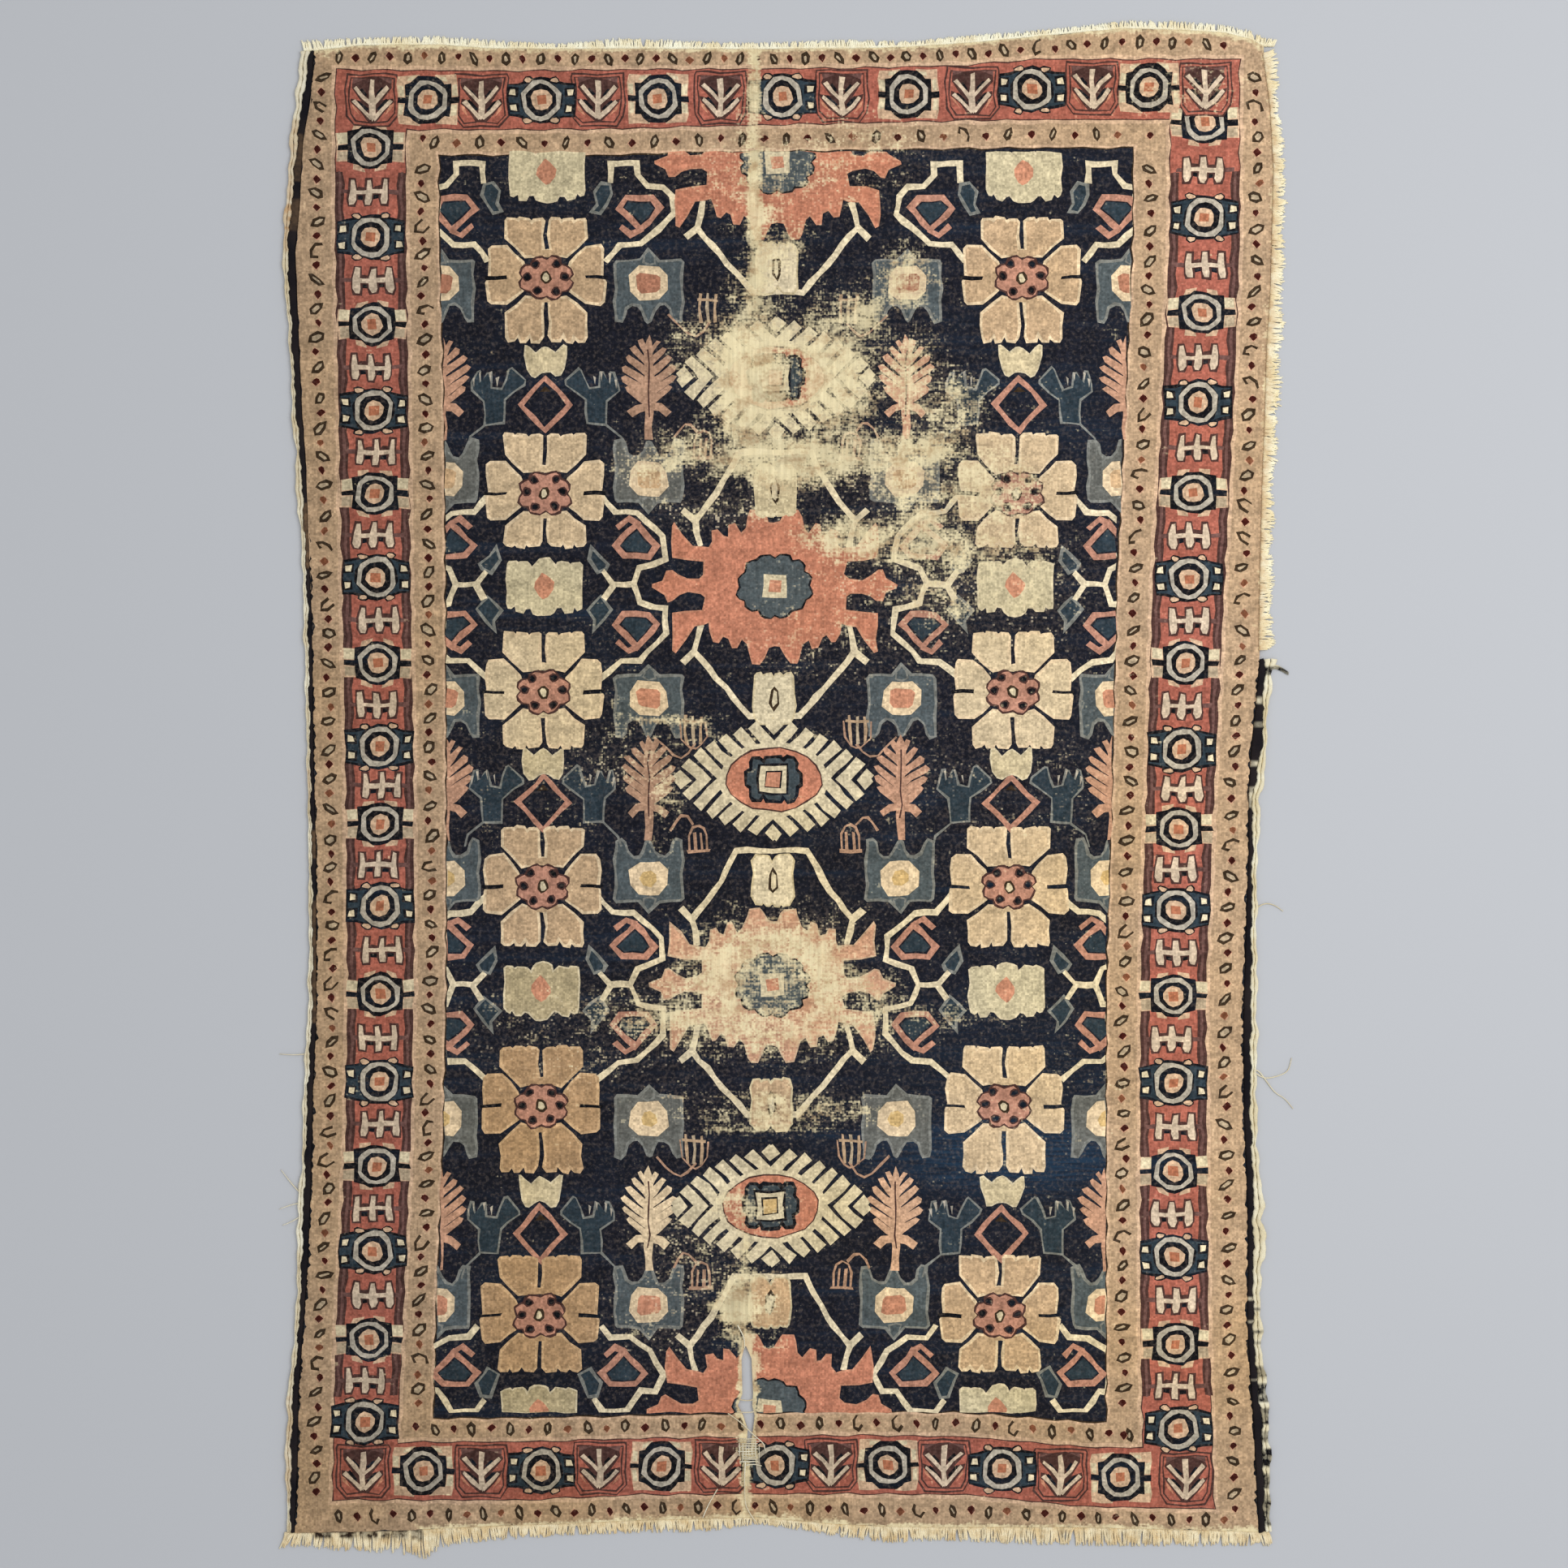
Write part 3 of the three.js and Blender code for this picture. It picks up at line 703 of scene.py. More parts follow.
def drawGuards(chart, seeds):
    for rows, edge, *lines in sideGuards:
        for (pitch, y, last), outer in zip(lines, (True, False)):
            while y > last:
                x = guardMiddle(rows, edge, y, outer) + seeds.uniform(-2, 2)
                slant, long, flat = seeds.choice(sideSlants), seeds.uniform(3.6, 4.6), seeds.uniform(2, 3)
                seedOval(chart, x, y, slant, long, flat, seeds.random() < 0.16)
                seedDot(chart, x + seeds.uniform(-2, 2), y - pitch / 2, seeds.random() < 0.2)
                y -= pitch * seeds.uniform(0.95, 1.05)
    for rows, edge, *lines, slants in endGuards:
        for (pitch, x, last), outer in zip(lines, (True, False)):
            while x < last:
                y = guardMiddle(rows, edge, x, outer)
                slant, long, flat = seeds.choice(slants), seeds.uniform(3.2, 3.8), seeds.uniform(1.9, 2.5)
                seedOval(chart, x, y, slant, long, flat, seeds.random() < 0.08)
                seedDot(chart, x + pitch / 2, y + seeds.uniform(-1.5, 1.5), seeds.random() < 0.15)
                x += pitch * seeds.uniform(0.97, 1.03)
    for rows, y in cornerDots:
        seedDot(chart, halfway(rows, y, innerGuard, field), y, False)


# Heights of the rosettes along the sides, places of the rosettes and the arrows along the ends
leftRosettes = [824, 708, 595, 483, 376, 268, 156.5, 48, -51.5, -157.5, -272, -385.5, -494.5, -604, -719,
                -825]
rightRosettes = [856, 733, 610, 493.5, 377, 265.5, 156.5, 45, -58, -163, -274, -386.5, -501, -612, -724.5,
                 -834]
topRosettes = [-461, -314, -163, -2, 161, 321, 472.5]
topArrows = [-533, -391.5, -240.5, -82, 74.5, 243.5, 399, 545]
bottomRosettes = [-467, -314, -158.5, -11.5, 134.5, 282.5, 436]
bottomArrows = [-545, -391.5, -238.5, -81, 61, 207, 358, 520]


def drawMainBorder(chart):
    stripeEnd = 792             # the dark stripes along the sides stop short of the corners
    for rows, inward in ((leftBands, 1), (rightBands, -1)):
        for column, outward in ((mainBorder, inward), (innerGuard, -inward)):
            for near, far, dye in ((0.4, 4.6, "umber"), (1.8, 3.2, "plum")):
                chart.lay(dye, sideLine(rows, column, stripeEnd, -stripeEnd, outward * near * knot)
                          + sideLine(rows, column, stripeEnd, -stripeEnd, outward * far * knot)[::-1])
    for rows, rosettes in ((leftBands, leftRosettes), (rightBands, rightRosettes)):
        for index, y in enumerate(rosettes):
            rosette(chart, halfway(rows, y, mainBorder, innerGuard), y, index, True)
        for index, (above, below) in enumerate(zip(rosettes, rosettes[1:])):
            y = (above + below) / 2
            comb(chart, halfway(rows, y, mainBorder, innerGuard), y, 1 if index % 2 else -1)
    for rows, rosettes, arrows in ((topBands, topRosettes, topArrows),
                                   (bottomBands, bottomRosettes, bottomArrows)):
        for x in arrows:
            arrow(chart, x, halfway(rows, x, mainBorder, innerGuard))
        for index, x in enumerate(rosettes):
            rosette(chart, x, halfway(rows, x, mainBorder, innerGuard), index, False)


# The field's columns, which lean a little, and its rows, in mm

def leaning(start, slope):
    return lambda y: start + slope * y


middleColumn = leaning(-13.6, 0.0065)
leftColumn = leaning(-311.8, 0.0062)
rightColumn = leaning(293.8, 0.0212)
leftShields = leaning(-175, 0)
rightShields = leaning(151.3, 0.0127)
edgeShields = (lambda y: along(leftBands, y, field) - 2, lambda y: along(rightBands, y, field) + 1)
fieldBottom, fieldTop = -813, 818

palmetteRows = [805, 256, -260, -811]
lozengeRows = [(526, "coral"), (6, "coral"), (-546, "amber")]
flowerRows = [      # height, length of the lower petals, the petals' yarns on the left and the right
    (655, 1.3, "tan", "tan"), (376, 0.92, "wheat", "wheat"), (119, 1, "pale", "pale"),
    (-133, 1.12, "tan", "wheat"), (-417, 1.35, "dun", "wheat"), (-688, 1, "dun", "tan"),
]
sidePalmetteRows = [790, 256, -267, -813]
vineRows = [(vine, 256), (vine, -262), (topVine, 793), (bottomVine, -807)]
crownRows = [548, 27, -526]
diamondRows = [491, -24, -582]
gobletRows = [      # height, which end is up, yarn
    (668, -1, "milk"), (379, 1, "butter"), (111, -1, "cream"), (-125, 1, "milk"), (-414, -1, "tan"),
    (-671, 1, "straw"),
]
shieldRows = [      # height, which end is up, body and heart, and where the bell hangs and of what kind
    (648, -1, "indigo", "rust", 30.5, 13.6, "fork"), (395, 1, "fog", "straw", 28, 17.6, "dome"),
    (111, -1, "indigo", "coral", 23, 17, "rake"), (-122, 1, "indigo", "amber", 25.6, 21, "dome"),
    (-433, -1, "fog", "amber", 23.5, 16.4, "rake"), (-674, 1, "indigo", "coral", 27, 15.5, "dome"),
]
leafRows = [        # height, yarns on the left and the right
    (520, "fawn", "blush"), (2, "fawn", "clay"), (-556, "flax", "apricot"),
]


def drawField(chart):
    def openWindow(y):
        # what is drawn at this height is cut off at the inner guard
        chart.window = (along(leftBands, y, field), along(rightBands, y, field), fieldBottom, fieldTop)
    for kind, y in vineRows:
        openWindow(y)
        for xAt in (leftColumn, rightColumn):
            for side in (-1, 1):
                kind(chart, xAt(y), y, side)
    for y, upDown, body, heart, across, above, kind in shieldRows:
        openWindow(y)
        for xAt in (leftShields, rightShields, *edgeShields):
            shield(chart, xAt(y), y, upDown, body, heart)
        for xAt, side in ((leftShields, 1), (rightShields, -1)):
            bell(chart, xAt(y) + side * across * knot, y + upDown * above * knot, side, upDown, kind)
    for y, left, right in leafRows:
        openWindow(y)
        for xAt, yarn in zip((leftShields, rightShields, *edgeShields), (left, right, "clay", "clay")):
            leaf(chart, xAt(y), y, yarn)
    for y in palmetteRows:
        openWindow(y)
        archLines(chart, middleColumn(y), y, 1, 18.4, 69.5)
        archLines(chart, middleColumn(y), y, -1, 12.8, 67.3)
        worn = y == -260        # the one below the middle has faded
        palmette(chart, middleColumn(y), y, *(("blush", "peach") if worn else ("madder", "coral")))
    for y, upDown, yarn in gobletRows:
        goblet(chart, middleColumn(y), y, upDown, yarn)
    for y, heart in lozengeRows:
        lozenge(chart, middleColumn(y), y, heart)
    for number, xAt in enumerate((leftColumn, rightColumn)):
        for y in diamondRows:
            diamondWithHands(chart, xAt(y), y)
        for y in crownRows:
            crown(chart, xAt(y), y)
        for y in sidePalmetteRows:
            openWindow(y)
            sidePalmette(chart, xAt(y), y, "olive" if y < -200 and number == 0 else "sage")
        for y, drop, *yarns in flowerRows:
            openWindow(y)
            flower(chart, xAt(y), y, drop, yarns[number], "straw" if yarns[number] == "dun" else "flax")
    chart.window = None


def stitchBites(chart, seeds):
    # the turns of the overcasting bite unevenly into the long sides
    bottom = -966
    for rows, inward, top in ((leftSide, 1, 945), (wholeRightSide, -1, 160)):
        y = top
        teeth = []
        while y > bottom:
            teeth.append((along(rows, y, 1) + inward * seeds.choice((0.3, 0.3, 0.9, 1.6, 2.6)), y))
            y -= seeds.uniform(2, 6)
        back = [(along(rows, y, 1) - inward * 4, y) for y in (bottom, -600, -200, 100, top) if y <= top]
        chart.lay("soot", teeth + back)


def drawRug(chart):
    stripe, line = 1.9 * knot, 0.55 * knot          # the pale stripe and the dark line where bands meet
    chart.lay("sand", clothOutline)
    for column, layers in ((mainBorder, (("peach", -stripe), ("umber", 0), ("brick", line))),
                           (innerGuard, (("umber", -line), ("peach", 0), ("sand", stripe))),
                           (field, (("peach", -stripe), ("bark", -0.7 * knot), ("midnight", 0)))):
        for dye, inset in layers:
            chart.lay(dye, bandOutline(column, inset))
    drawField(chart)
    drawGuards(chart, random.Random(7))
    drawMainBorder(chart)
    stitchBites(chart, random.Random(19))


# The knotted cloth as one closed mesh

wornPatches = [     # place, half width and height in mm, then how worn, speckled and bluer
    # the great bare patch in the upper half and what spreads from it
    (-40, 520, 54, 118, 1.05, 0.5), (62, 530, 60, 90, 0.95, 0.6), (20, 420, 128, 34, 1.08, 0.9),
    (160, 432, 90, 22, 0.84, 1), (150, 390, 60, 40, 0.5, 1), (17, 526, 12, 22, -0.5),
    (-110, 560, 44, 50, 0.55, 0.7), (-118, 432, 60, 26, 0.7, 1), (-172, 415, 44, 30, 0.46, 1),
    (165, 530, 40, 62, 0.66, 0.8), (100, 606, 30, 26, 0.9, 0.6), (158, 655, 38, 44, 0.62, 0.5),
    (210, 470, 50, 60, 0.66, 1), (95, 320, 70, 30, 0.86, 1), (180, 320, 60, 38, 0.84, 1),
    (258, 385, 74, 60, 0.72, 0.8), (250, 298, 110, 34, 0.62, 1), (-70, 352, 90, 20, 0.5, 1),
    (200, 250, 66, 44, 0.52, 1), (-60, -546, 36, 26, 0.6), (-10, -546, 60, 36, 0.26, 0.3),
    (62, 262, 50, 34, 0.26, 0.6),
    # the crease that runs down from the top end
    (-39, 905, 8, 60, 1.2), (-40, 810, 9, 60, 1.2), (-37, 730, 10, 50, 1.2), (-36, 650, 13, 60, 1.2),
    (-46, 845, 20, 60, 0.45), (-8, 700, 52, 46, 0.5),
    # the palmette worn pale below the middle
    (-16, -252, 104, 72, 1.1), (-11, -259, 44, 38, -0.78), (-9, -259, 9, 9, 0.75),
    (-75, -310, 150, 22, 0.7, 0.8), (-10, -335, 130, 26, 0.5, 0.6), (-150, -285, 60, 40, 0.5, 0.6),
    (118, -285, 40, 40, 0.55, 0.6), (20, -180, 90, 22, 0.4, 0.6), (-215, -290, 60, 26, 0.42, 0.4),
    # round the tear and below it
    (-62, -678, 22, 36, 1.3), (-50, -612, 6, 42, 0.8), (-50, -715, 16, 14, 0.9), (-49, -905, 5.5, 60, 1.2),
    (-46, -864, 14, 12, 1.1), (-60, -640, 60, 26, 0.4, 0.4), (-108, -675, 32, 3, 1.2),
    (-20, -690, 40, 40, 0.4), (-150, -680, 60, 60, 0.3, 0.6), (-110, -600, 80, 40, 0.3, 0.6),
    # thin threadbare rows
    (-6, -428, 150, 8, 0.8), (-40, -404, 130, 5, 0.78), (-30, -446, 110, 4, 0.7), (-165, 82, 80, 6, 0.6),
    (-155, -30, 20, 90, 0.48), (-210, 60, 40, 60, 0.3), (-440, 300, 30, 5, 0.4), (-30, 60, 170, 8, 0.42),
    (170, -300, 90, 16, 0.4),
    # thin pile elsewhere
    (250, 250, 150, 90, 0.2, 0.6), (60, 200, 130, 70, 0.26, 0.4), (300, 0, 160, 150, 0.14, 0.2),
    (240, 20, 60, 20, 0.2, 0.4), (-210, 20, 130, 34, 0.2, 0.5), (0, -420, 170, 26, 0.3, 0.5),
    (300, -420, 160, 130, 0.12, 0.1, 0.2), (-250, -330, 160, 60, 0.2, 0.4), (-290, 20, 130, 90, 0.14, 0.1),
    (520, 905, 90, 40, 0.3, 0.3), (300, -480, 150, 44, 0, 0.2, 1), (120, 830, 110, 40, 0.35, 0.5),
    (0, 790, 160, 50, 0.36, 0.4),
]


wornness, speckle, bluer = 0, 1, 2


def wearAt(points, quality):
    # overlapping patches add up softly, and those below nought spare what they cover
    left = np.ones(len(points))
    most = np.zeros(len(points))
    least = np.zeros(len(points))
    for x, y, across, up, *amounts in wornPatches:
        u = (points[:, 0] - x) / across
        v = (points[:, 1] - y) / up
        here = (*amounts, 0, 0)[quality] * np.exp(-0.7 * (u * u + v * v) ** 1.4)
        left *= 1 - np.clip(here, 0, 1) * 0.55
        most = np.maximum(most, here)
        least = np.minimum(least, here)
    return np.maximum(most, 1 - left) + least


def windings(points, outline):
    # how many times the outline goes round each point
    x, y = points[:, :1], points[:, 1:]
    ax, ay = np.array(outline).T
    bx, by = np.roll(ax, -1), np.roll(ay, -1)
    side = (bx - ax) * (y - ay) - (x - ax) * (by - ay)
    return ((ay <= y) & (by > y) & (side > 0)).sum(1) - ((ay > y) & (by <= y) & (side < 0)).sum(1)


def distanceTo(points, path):
    nearest = np.full(len(points), np.inf)
    for a, b in zip(np.array(path), np.array(path[1:])):
        reach = b - a
        share = np.clip(((points - a) @ reach) / (reach @ reach), 0, 1)
        nearest = np.minimum(nearest, np.hypot(*(points - a - share[:, None] * reach).T))
    return nearest


def paintedTriangles(chart, shapes, extraPoints, loops):
    # triangles whose edges follow the shapes and the loops, each with the dye of the topmost shape
    coords = [Vector(point) for point in chart.points]
    edges = [pair for shape in shapes for pair in zip(shape, shape[1:] + shape[:1])]
    for loop in loops:
        first = len(coords)
        coords += [Vector(point) for point in loop]
        ring = list(range(first, len(coords)))
        edges += list(zip(ring, ring[1:] + ring[:1]))
    used = sorted({index for edge in edges for index in edge})
    renumbered = {old: new for new, old in enumerate(used)}
    coords = [coords[index] for index in used] + [Vector(point) for point in extraPoints]
    edges = [(renumbered[a], renumbered[b]) for a, b in edges]
    closest = 0.02              # mm, nearer points are merged
    points, _, triangles, *_ = delaunay_2d_cdt(coords, edges, [], 0, closest, False)
    points = np.array([tuple(point) for point in points])
    triangles = np.array([tuple(face) for face in triangles])
    middles = points[triangles].mean(axis=1)
    kept = (windings(middles, clothOutline) != 0) & (windings(middles, tearOutline) == 0)
    triangles, middles = triangles[kept], middles[kept]
    dye = np.zeros(len(triangles), dtype=int)
    starts = {shape[0] for shape in shapes}
    for number, shape in enumerate(chart.shapes):
        if shape[0] not in starts:
            continue
        outline = [chart.points[index] for index in shape]
        low, high = np.min(outline, axis=0), np.max(outline, axis=0)
        near = np.flatnonzero(((middles > low) & (middles < high)).all(axis=1))
        if len(near):
            dye[near[windings(middles[near], outline) > 0]] = chart.dyes[number]
    return points, triangles, dye


def openEdges(faces):
    # the next point for each point on the rim
    edges = {(a, b) for face in faces for a, b in zip(face, face[1:] + face[:1])}
    return {a: b for a, b in edges if (b, a) not in edges}


def loopsOf(following):
    left = dict(following)
    loops = []
    while left:
        start = min(left)
        loop = [start]
        while left[loop[-1]] != start:
            loop.append(left.pop(loop[-1]))
        del left[loop[-1]]
        loops.append(loop)
    return loops


def meshObject(name, points, faces):
    # points in mm in the chart's frame
    mesh = bpy.data.meshes.new(name)
    placed = (np.array(points, dtype=float) + (*chartOrigin, 0)) / 1000
    mesh.from_pydata(placed.tolist(), [], faces)
    mesh.update()
    thing = bpy.data.objects.new(name, mesh)
    bpy.context.scene.collection.objects.link(thing)
    return thing


def setAttribute(mesh, name, kind, domain, field, values):
    mesh.attributes.new(name, kind, domain).data.foreach_set(field, values)


# What the rims lose: path, how worn, how far in
raggedRims = [
    (tearOutline, 1.15, 3.4), ([row[:2] for row in topEnd], 0.9, 3.2),
    ([row[:2] for row in bottomEnd[3:]], 0.9, 4), ([row[1::-1] for row in frayedSide], 0.5, 3),
]
sagging = dict(worn=2, ripple=0.35)     # mm, how much lower bare places lie, and the cloth's slow waves
latticePitch, latticeStray = 13, 3      # mm, the points that carry the wear between the shapes
boldArea = 500                          # mm2, smaller shapes don't show on the underside


def clothObject(chart):
    seeds = np.random.default_rng(5)
    lattice = np.array([(x, y) for x in range(-650, 660, latticePitch)
                        for y in range(-980, 990, latticePitch)], dtype=float)
    lattice += seeds.uniform(-latticeStray, latticeStray, lattice.shape)
    lattice = lattice[windings(lattice, shrunk(clothOutline, 4)) != 0]
    lattice = lattice[windings(lattice, tearOutline) == 0]
    top, topFaces, topDye = paintedTriangles(chart, chart.shapes, lattice, [clothOutline, tearOutline])
    bold = [shape for shape in chart.shapes
            if abs(signedArea([chart.points[index] for index in shape])) > boldArea]
    walls = openEdges(topFaces.tolist())
    rimLoops = [top[loop].tolist() for loop in loopsOf(walls)]
    under, underFaces, underDye = paintedTriangles(chart, bold, [], rimLoops)
    below = {a: len(top) + int(np.argmin(np.hypot(*(under - top[a]).T))) for a in walls}
    rims = np.zeros(len(top))
    for path, most, reach in raggedRims:
        rims = np.maximum(rims, most * np.exp(-(distanceTo(top, path) / reach) ** 2))
    worn = np.clip(wearAt(top, wornness) + rims, 0, 1.3)
    ripple = np.sin(top[:, 0] * 0.021 + 2 * np.sin(top[:, 1] * 0.006)) * np.sin(top[:, 1] * 0.017 + 1)
    height = (pileHeight - sagging["ripple"] - sagging["worn"] * np.clip(worn, 0, 1) ** 2
              + sagging["ripple"] * ripple)
    faces = topFaces.tolist() + [[a, c, b] for a, b, c in (underFaces + len(top)).tolist()]
    dye = topDye.tolist() + underDye.tolist()
    for a, b in walls.items():
        faces += [[b, a, below[a]], [b, below[a], below[b]]]
        dye += [dyeNames.index("sand")] * 2
    flat = np.zeros(len(under))
    points = np.vstack([np.column_stack([top, height]), np.column_stack([under, flat])])
    rug = meshObject("knotted_cloth", points, faces)
    shades = np.array([srgb(dyes[name]) + [1] for name in dyeNames], dtype=np.float32)
    setAttribute(rug.data, "yarn", "FLOAT_COLOR", "FACE", "color", shades[np.array(dye)].ravel())
    for name, values in (("worn", worn), ("speckle", wearAt(top, speckle)), ("bluer", wearAt(top, bluer))):
        values = np.concatenate([values, flat]).astype(np.float32)
        setAttribute(rug.data, name, "FLOAT", "POINT", "value", values)
    print("knotted cloth:", len(topFaces), "triangles above,", len(underFaces), "below,", len(walls),
          "wall edges")
    return rug


# Materials

def srgb(colour):
    # from 0 to 255 to the linear values that sockets take
    return [channel / 255 / 12.92 if channel < 10.3 else ((channel / 255 + 0.055) / 1.055) ** 2.4
            for channel in colour]


class Wire:
    # a socket that takes part in sums; the nodes are made as the sums are written
    def __init__(self, tree, socket=None):
        self.tree = tree
        self.socket = socket

    def node(self, kind, inputs=(), output=0, **settings):
        made = self.tree.nodes.new(kind)
        for key, value in settings.items():
            setattr(made, key, value)
        for slot, value in dict(inputs).items():
            if isinstance(value, Wire):
                self.tree.links.new(value.socket, made.inputs[slot])
            else:
                made.inputs[slot].default_value = value
        return Wire(self.tree, made.outputs[output])

    def sum(self, operation, other, swapped=False):
        values = (other, self) if swapped else (self, other)
        return self.node("ShaderNodeMath", {0: values[0], 1: values[1]}, operation=operation)

    def __add__(self, other):
        return self.sum("ADD", other)

    def __sub__(self, other):
        return self.sum("SUBTRACT", other)

    def __mul__(self, other):
        return self.sum("MULTIPLY", other)

    def __rsub__(self, other):
        return self.sum("SUBTRACT", other, True)

    __radd__ = __add__
    __rmul__ = __mul__

    def stretch(self, low, high, toLow=0.0, toHigh=1.0):
        return self.node("ShaderNodeMapRange", {0: self, 1: low, 2: high, 3: toLow, 4: toHigh})

    def mix(self, first, second):
        # this socket is the share of the second colour
        return self.node("ShaderNodeMix", {0: self, 6: first, 7: second}, 2, data_type="RGBA")

    def times(self, vector):
        return self.node("ShaderNodeVectorMath", {0: self, 1: vector}, operation="MULTIPLY")

    def moved(self, vector):
        return self.node("ShaderNodeVectorMath", {0: self, 1: vector}, operation="ADD")

    def scaled(self, factor):
        return self.node("ShaderNodeVectorMath", {0: self, "Scale": factor}, operation="SCALE")

    def noise(self, scale, detail=2.0, roughness=0.5):
        return self.node("ShaderNodeTexNoise", {"Vector": self, "Scale": scale, "Detail": detail,
                                                "Roughness": roughness})

    def chance(self, across, up, shift=0.0):
        # one random number for each cell, sizes in mm
        cell = self.times((1000 / across, 1000 / up, 0)).moved((shift, shift, 0))
        cell = cell.node("ShaderNodeVectorMath", {0: cell}, operation="FLOOR")
        return cell.node("ShaderNodeTexWhiteNoise", {"Vector": cell}, noise_dimensions="2D")

    def attribute(self, name, output="Fac"):
        return self.node("ShaderNodeAttribute", output=output, attribute_name=name)


def newMaterial(name):
    material = bpy.data.materials.new(name)
    material.use_nodes = True
    tree = material.node_tree
    shader = tree.nodes["Principled BSDF"]
    shader.inputs["Roughness"].default_value = 1
    shader.inputs["Specular IOR Level"].default_value = 0.1
    return material, shader, Wire(tree).node("ShaderNodeTexCoord", output="Object")


def paint(colour):
    return (*srgb(colour), 1)


pileShades = {          # sRGB, what lies over the dyes of the chart
    "bluer indigo": (36, 56, 76), "mottled dark": (122, 108, 96), "pale knot": (206, 190, 162),
    "foundation": (226, 206, 158), "light foundation": (246, 232, 190), "browned foundation": (168, 132, 92),
}


def pileMaterial():
    material, shader, place = newMaterial("pile")
    shades = {name: paint(colour) for name, colour in pileShades.items()}
    worn, speckle, bluer = (place.attribute(name) for name in ("worn", "speckle", "bluer"))
    yarn = place.attribute("yarn", "Color")
    # position nudged so that knots don't stand in perfect rows
    nudge = place.noise(60, 1).scaled(0.0016)
    spot = place.moved(nudge)
    knots = spot.chance(2.6, 2.4)
    tufts = spot.chance(5.2, 3.6, 0.4)
    clouds = place.noise(70, 3, 0.6)                      # about 15 mm
    drifts = place.noise(9, 3, 0.6)                       # about 100 mm
    upright = place.times((330, 26, 1)).noise(1, 2)       # along the warps
    level = place.times((22, 300, 1)).noise(1, 2)         # along the rows
    bands = place.times((1.5, 30, 1)).noise(1, 3, 0.7)    # dye lots

    light = knots.stretch(0, 1, 0.8, 1.2) * tufts.stretch(0, 1, 0.88, 1.12)
    light = light * clouds.stretch(0.3, 0.7, 0.78, 1.16) * upright.stretch(0.3, 0.7, 0.88, 1.1)
    grain = place.noise(200, 2, 0.6)                      # about 5 mm
    light = light * bands.stretch(0.3, 0.7, 0.9, 1.1) * grain.stretch(0.3, 0.7, 0.84, 1.16)
    # painted light and shade: the pile is darker towards the left and at the foot and lighter towards the
    # right, as the light falls unevenly
    across, up = (place.node("ShaderNodeSeparateXYZ", {0: place}, axis) for axis in (0, 1))
    light = light * across.stretch(-0.6, 0.6, 0.85, 1.13) * up.stretch(-0.9, -0.6, 0.88, 1)
    # pale wool has yellowed in slow patches, more in the lower half
    stained = place.noise(3.5, 2).stretch(0.42, 0.66) * up.stretch(-0.4, 0.5, 0.42, 0.16)
    wool = stained.mix(yarn, yarn.times((1, 0.9, 0.62))).scaled(light)
    dark = yarn.node("ShaderNodeSeparateColor", {0: yarn}, 0).stretch(0.014, 0.03, 1, 0)
    share = (bluer * 1.2 + bands.stretch(0.52, 0.75) * 0.5 + drifts.stretch(0.5, 0.8) * 0.3) * dark
    wool = (share * level.stretch(0.35, 0.65, 0.3, 1)).mix(wool, shades["bluer indigo"])
    # the dark ground is mottled, and single knots are worn pale
    mottle = (grain + speckle * 0.12).stretch(0.5, 0.78, 0, 0.32)
    wool = (mottle * dark.stretch(0, 1, 0.5, 1)).mix(wool, shades["mottled dark"])
    bar = 0.996 - speckle * clouds.stretch(0.35, 0.7, 0.01, 0.28) - drifts.stretch(0.45, 0.7, 0, 0.025)
    specks = (knots - bar).stretch(0, 0.06) * (0.34 + speckle * 0.36)
    wool = (specks * dark.stretch(0, 1, 0.7, 1)).mix(wool, shades["pale knot"])

    # where the pile is gone: the wear at a place, roughened by everything that is uneven
    ragged = worn + (clouds - 0.5) * 1.0 + (upright - 0.5) * 0.6 + (level - 0.5) * 0.7 + (knots - 0.5) * 0.36
    remains = place.times((1, 1.4, 1)).noise(30, 3, 0.65)
    ragged = ragged + (drifts - 0.5) * 0.5 + (tufts - 0.5) * 0.16 + (remains - 0.5) * 0.9
    # the dark ground has lasted better than the figures on it
    ragged = ragged + (0.1 - dark * 0.12) * worn.stretch(0.1, 0.5)
    thin = ragged.stretch(0.42, 0.86) * place.noise(17, 2).stretch(0.35, 0.6, 0.78, 0.96) * (1 - dark * 0.05)
    warps = place.times((250, 20, 1)).noise(1, 3).stretch(0.3, 0.7, 0.8, 1.08)
    ivory = clouds.mix(shades["foundation"], shades["light foundation"]).scaled(warps)
    # foundation browned here and there
    brown = (place.times((1, 1.7, 1)).noise(24, 3, 0.6) + (grain - 0.5) * 0.5).stretch(0.48, 0.7, 0, 0.7)
    ivory = brown.mix(ivory, shades["browned foundation"])
    colour = thin.mix(wool, ivory)
    place.tree.links.new(colour.socket, shader.inputs["Base Color"])
    relief = knots * 0.5 + tufts * 0.3 + clouds * 0.6
    bump = place.node("ShaderNodeBump", {"Height": relief, "Distance": 0.0007, "Strength": 0.6})
    place.tree.links.new(bump.socket, shader.inputs["Normal"])
    return material


def yarnMaterial(name, pale, deep, patches, other=(0, 0, 0)):
    # two shades of one yarn in soft patches, with finer fibres; the other colour where the points say so
    material, shader, place = newMaterial(name)
    broad = place.noise(patches, 3, 0.6).stretch(0.35, 0.65)
    fine = place.noise(900, 2).stretch(0.3, 0.7, 0.82, 1.12)
    colour = broad.mix(paint(pale), paint(deep)).scaled(fine)
    shade = place.attribute("shade") * place.noise(120, 2).stretch(0.4, 0.6, 0.5, 1)
    colour = shade.mix(colour, paint(other))
    place.tree.links.new(colour.socket, shader.inputs["Base Color"])
    return material


# Yarns round the edge, each piece one mesh of many strands

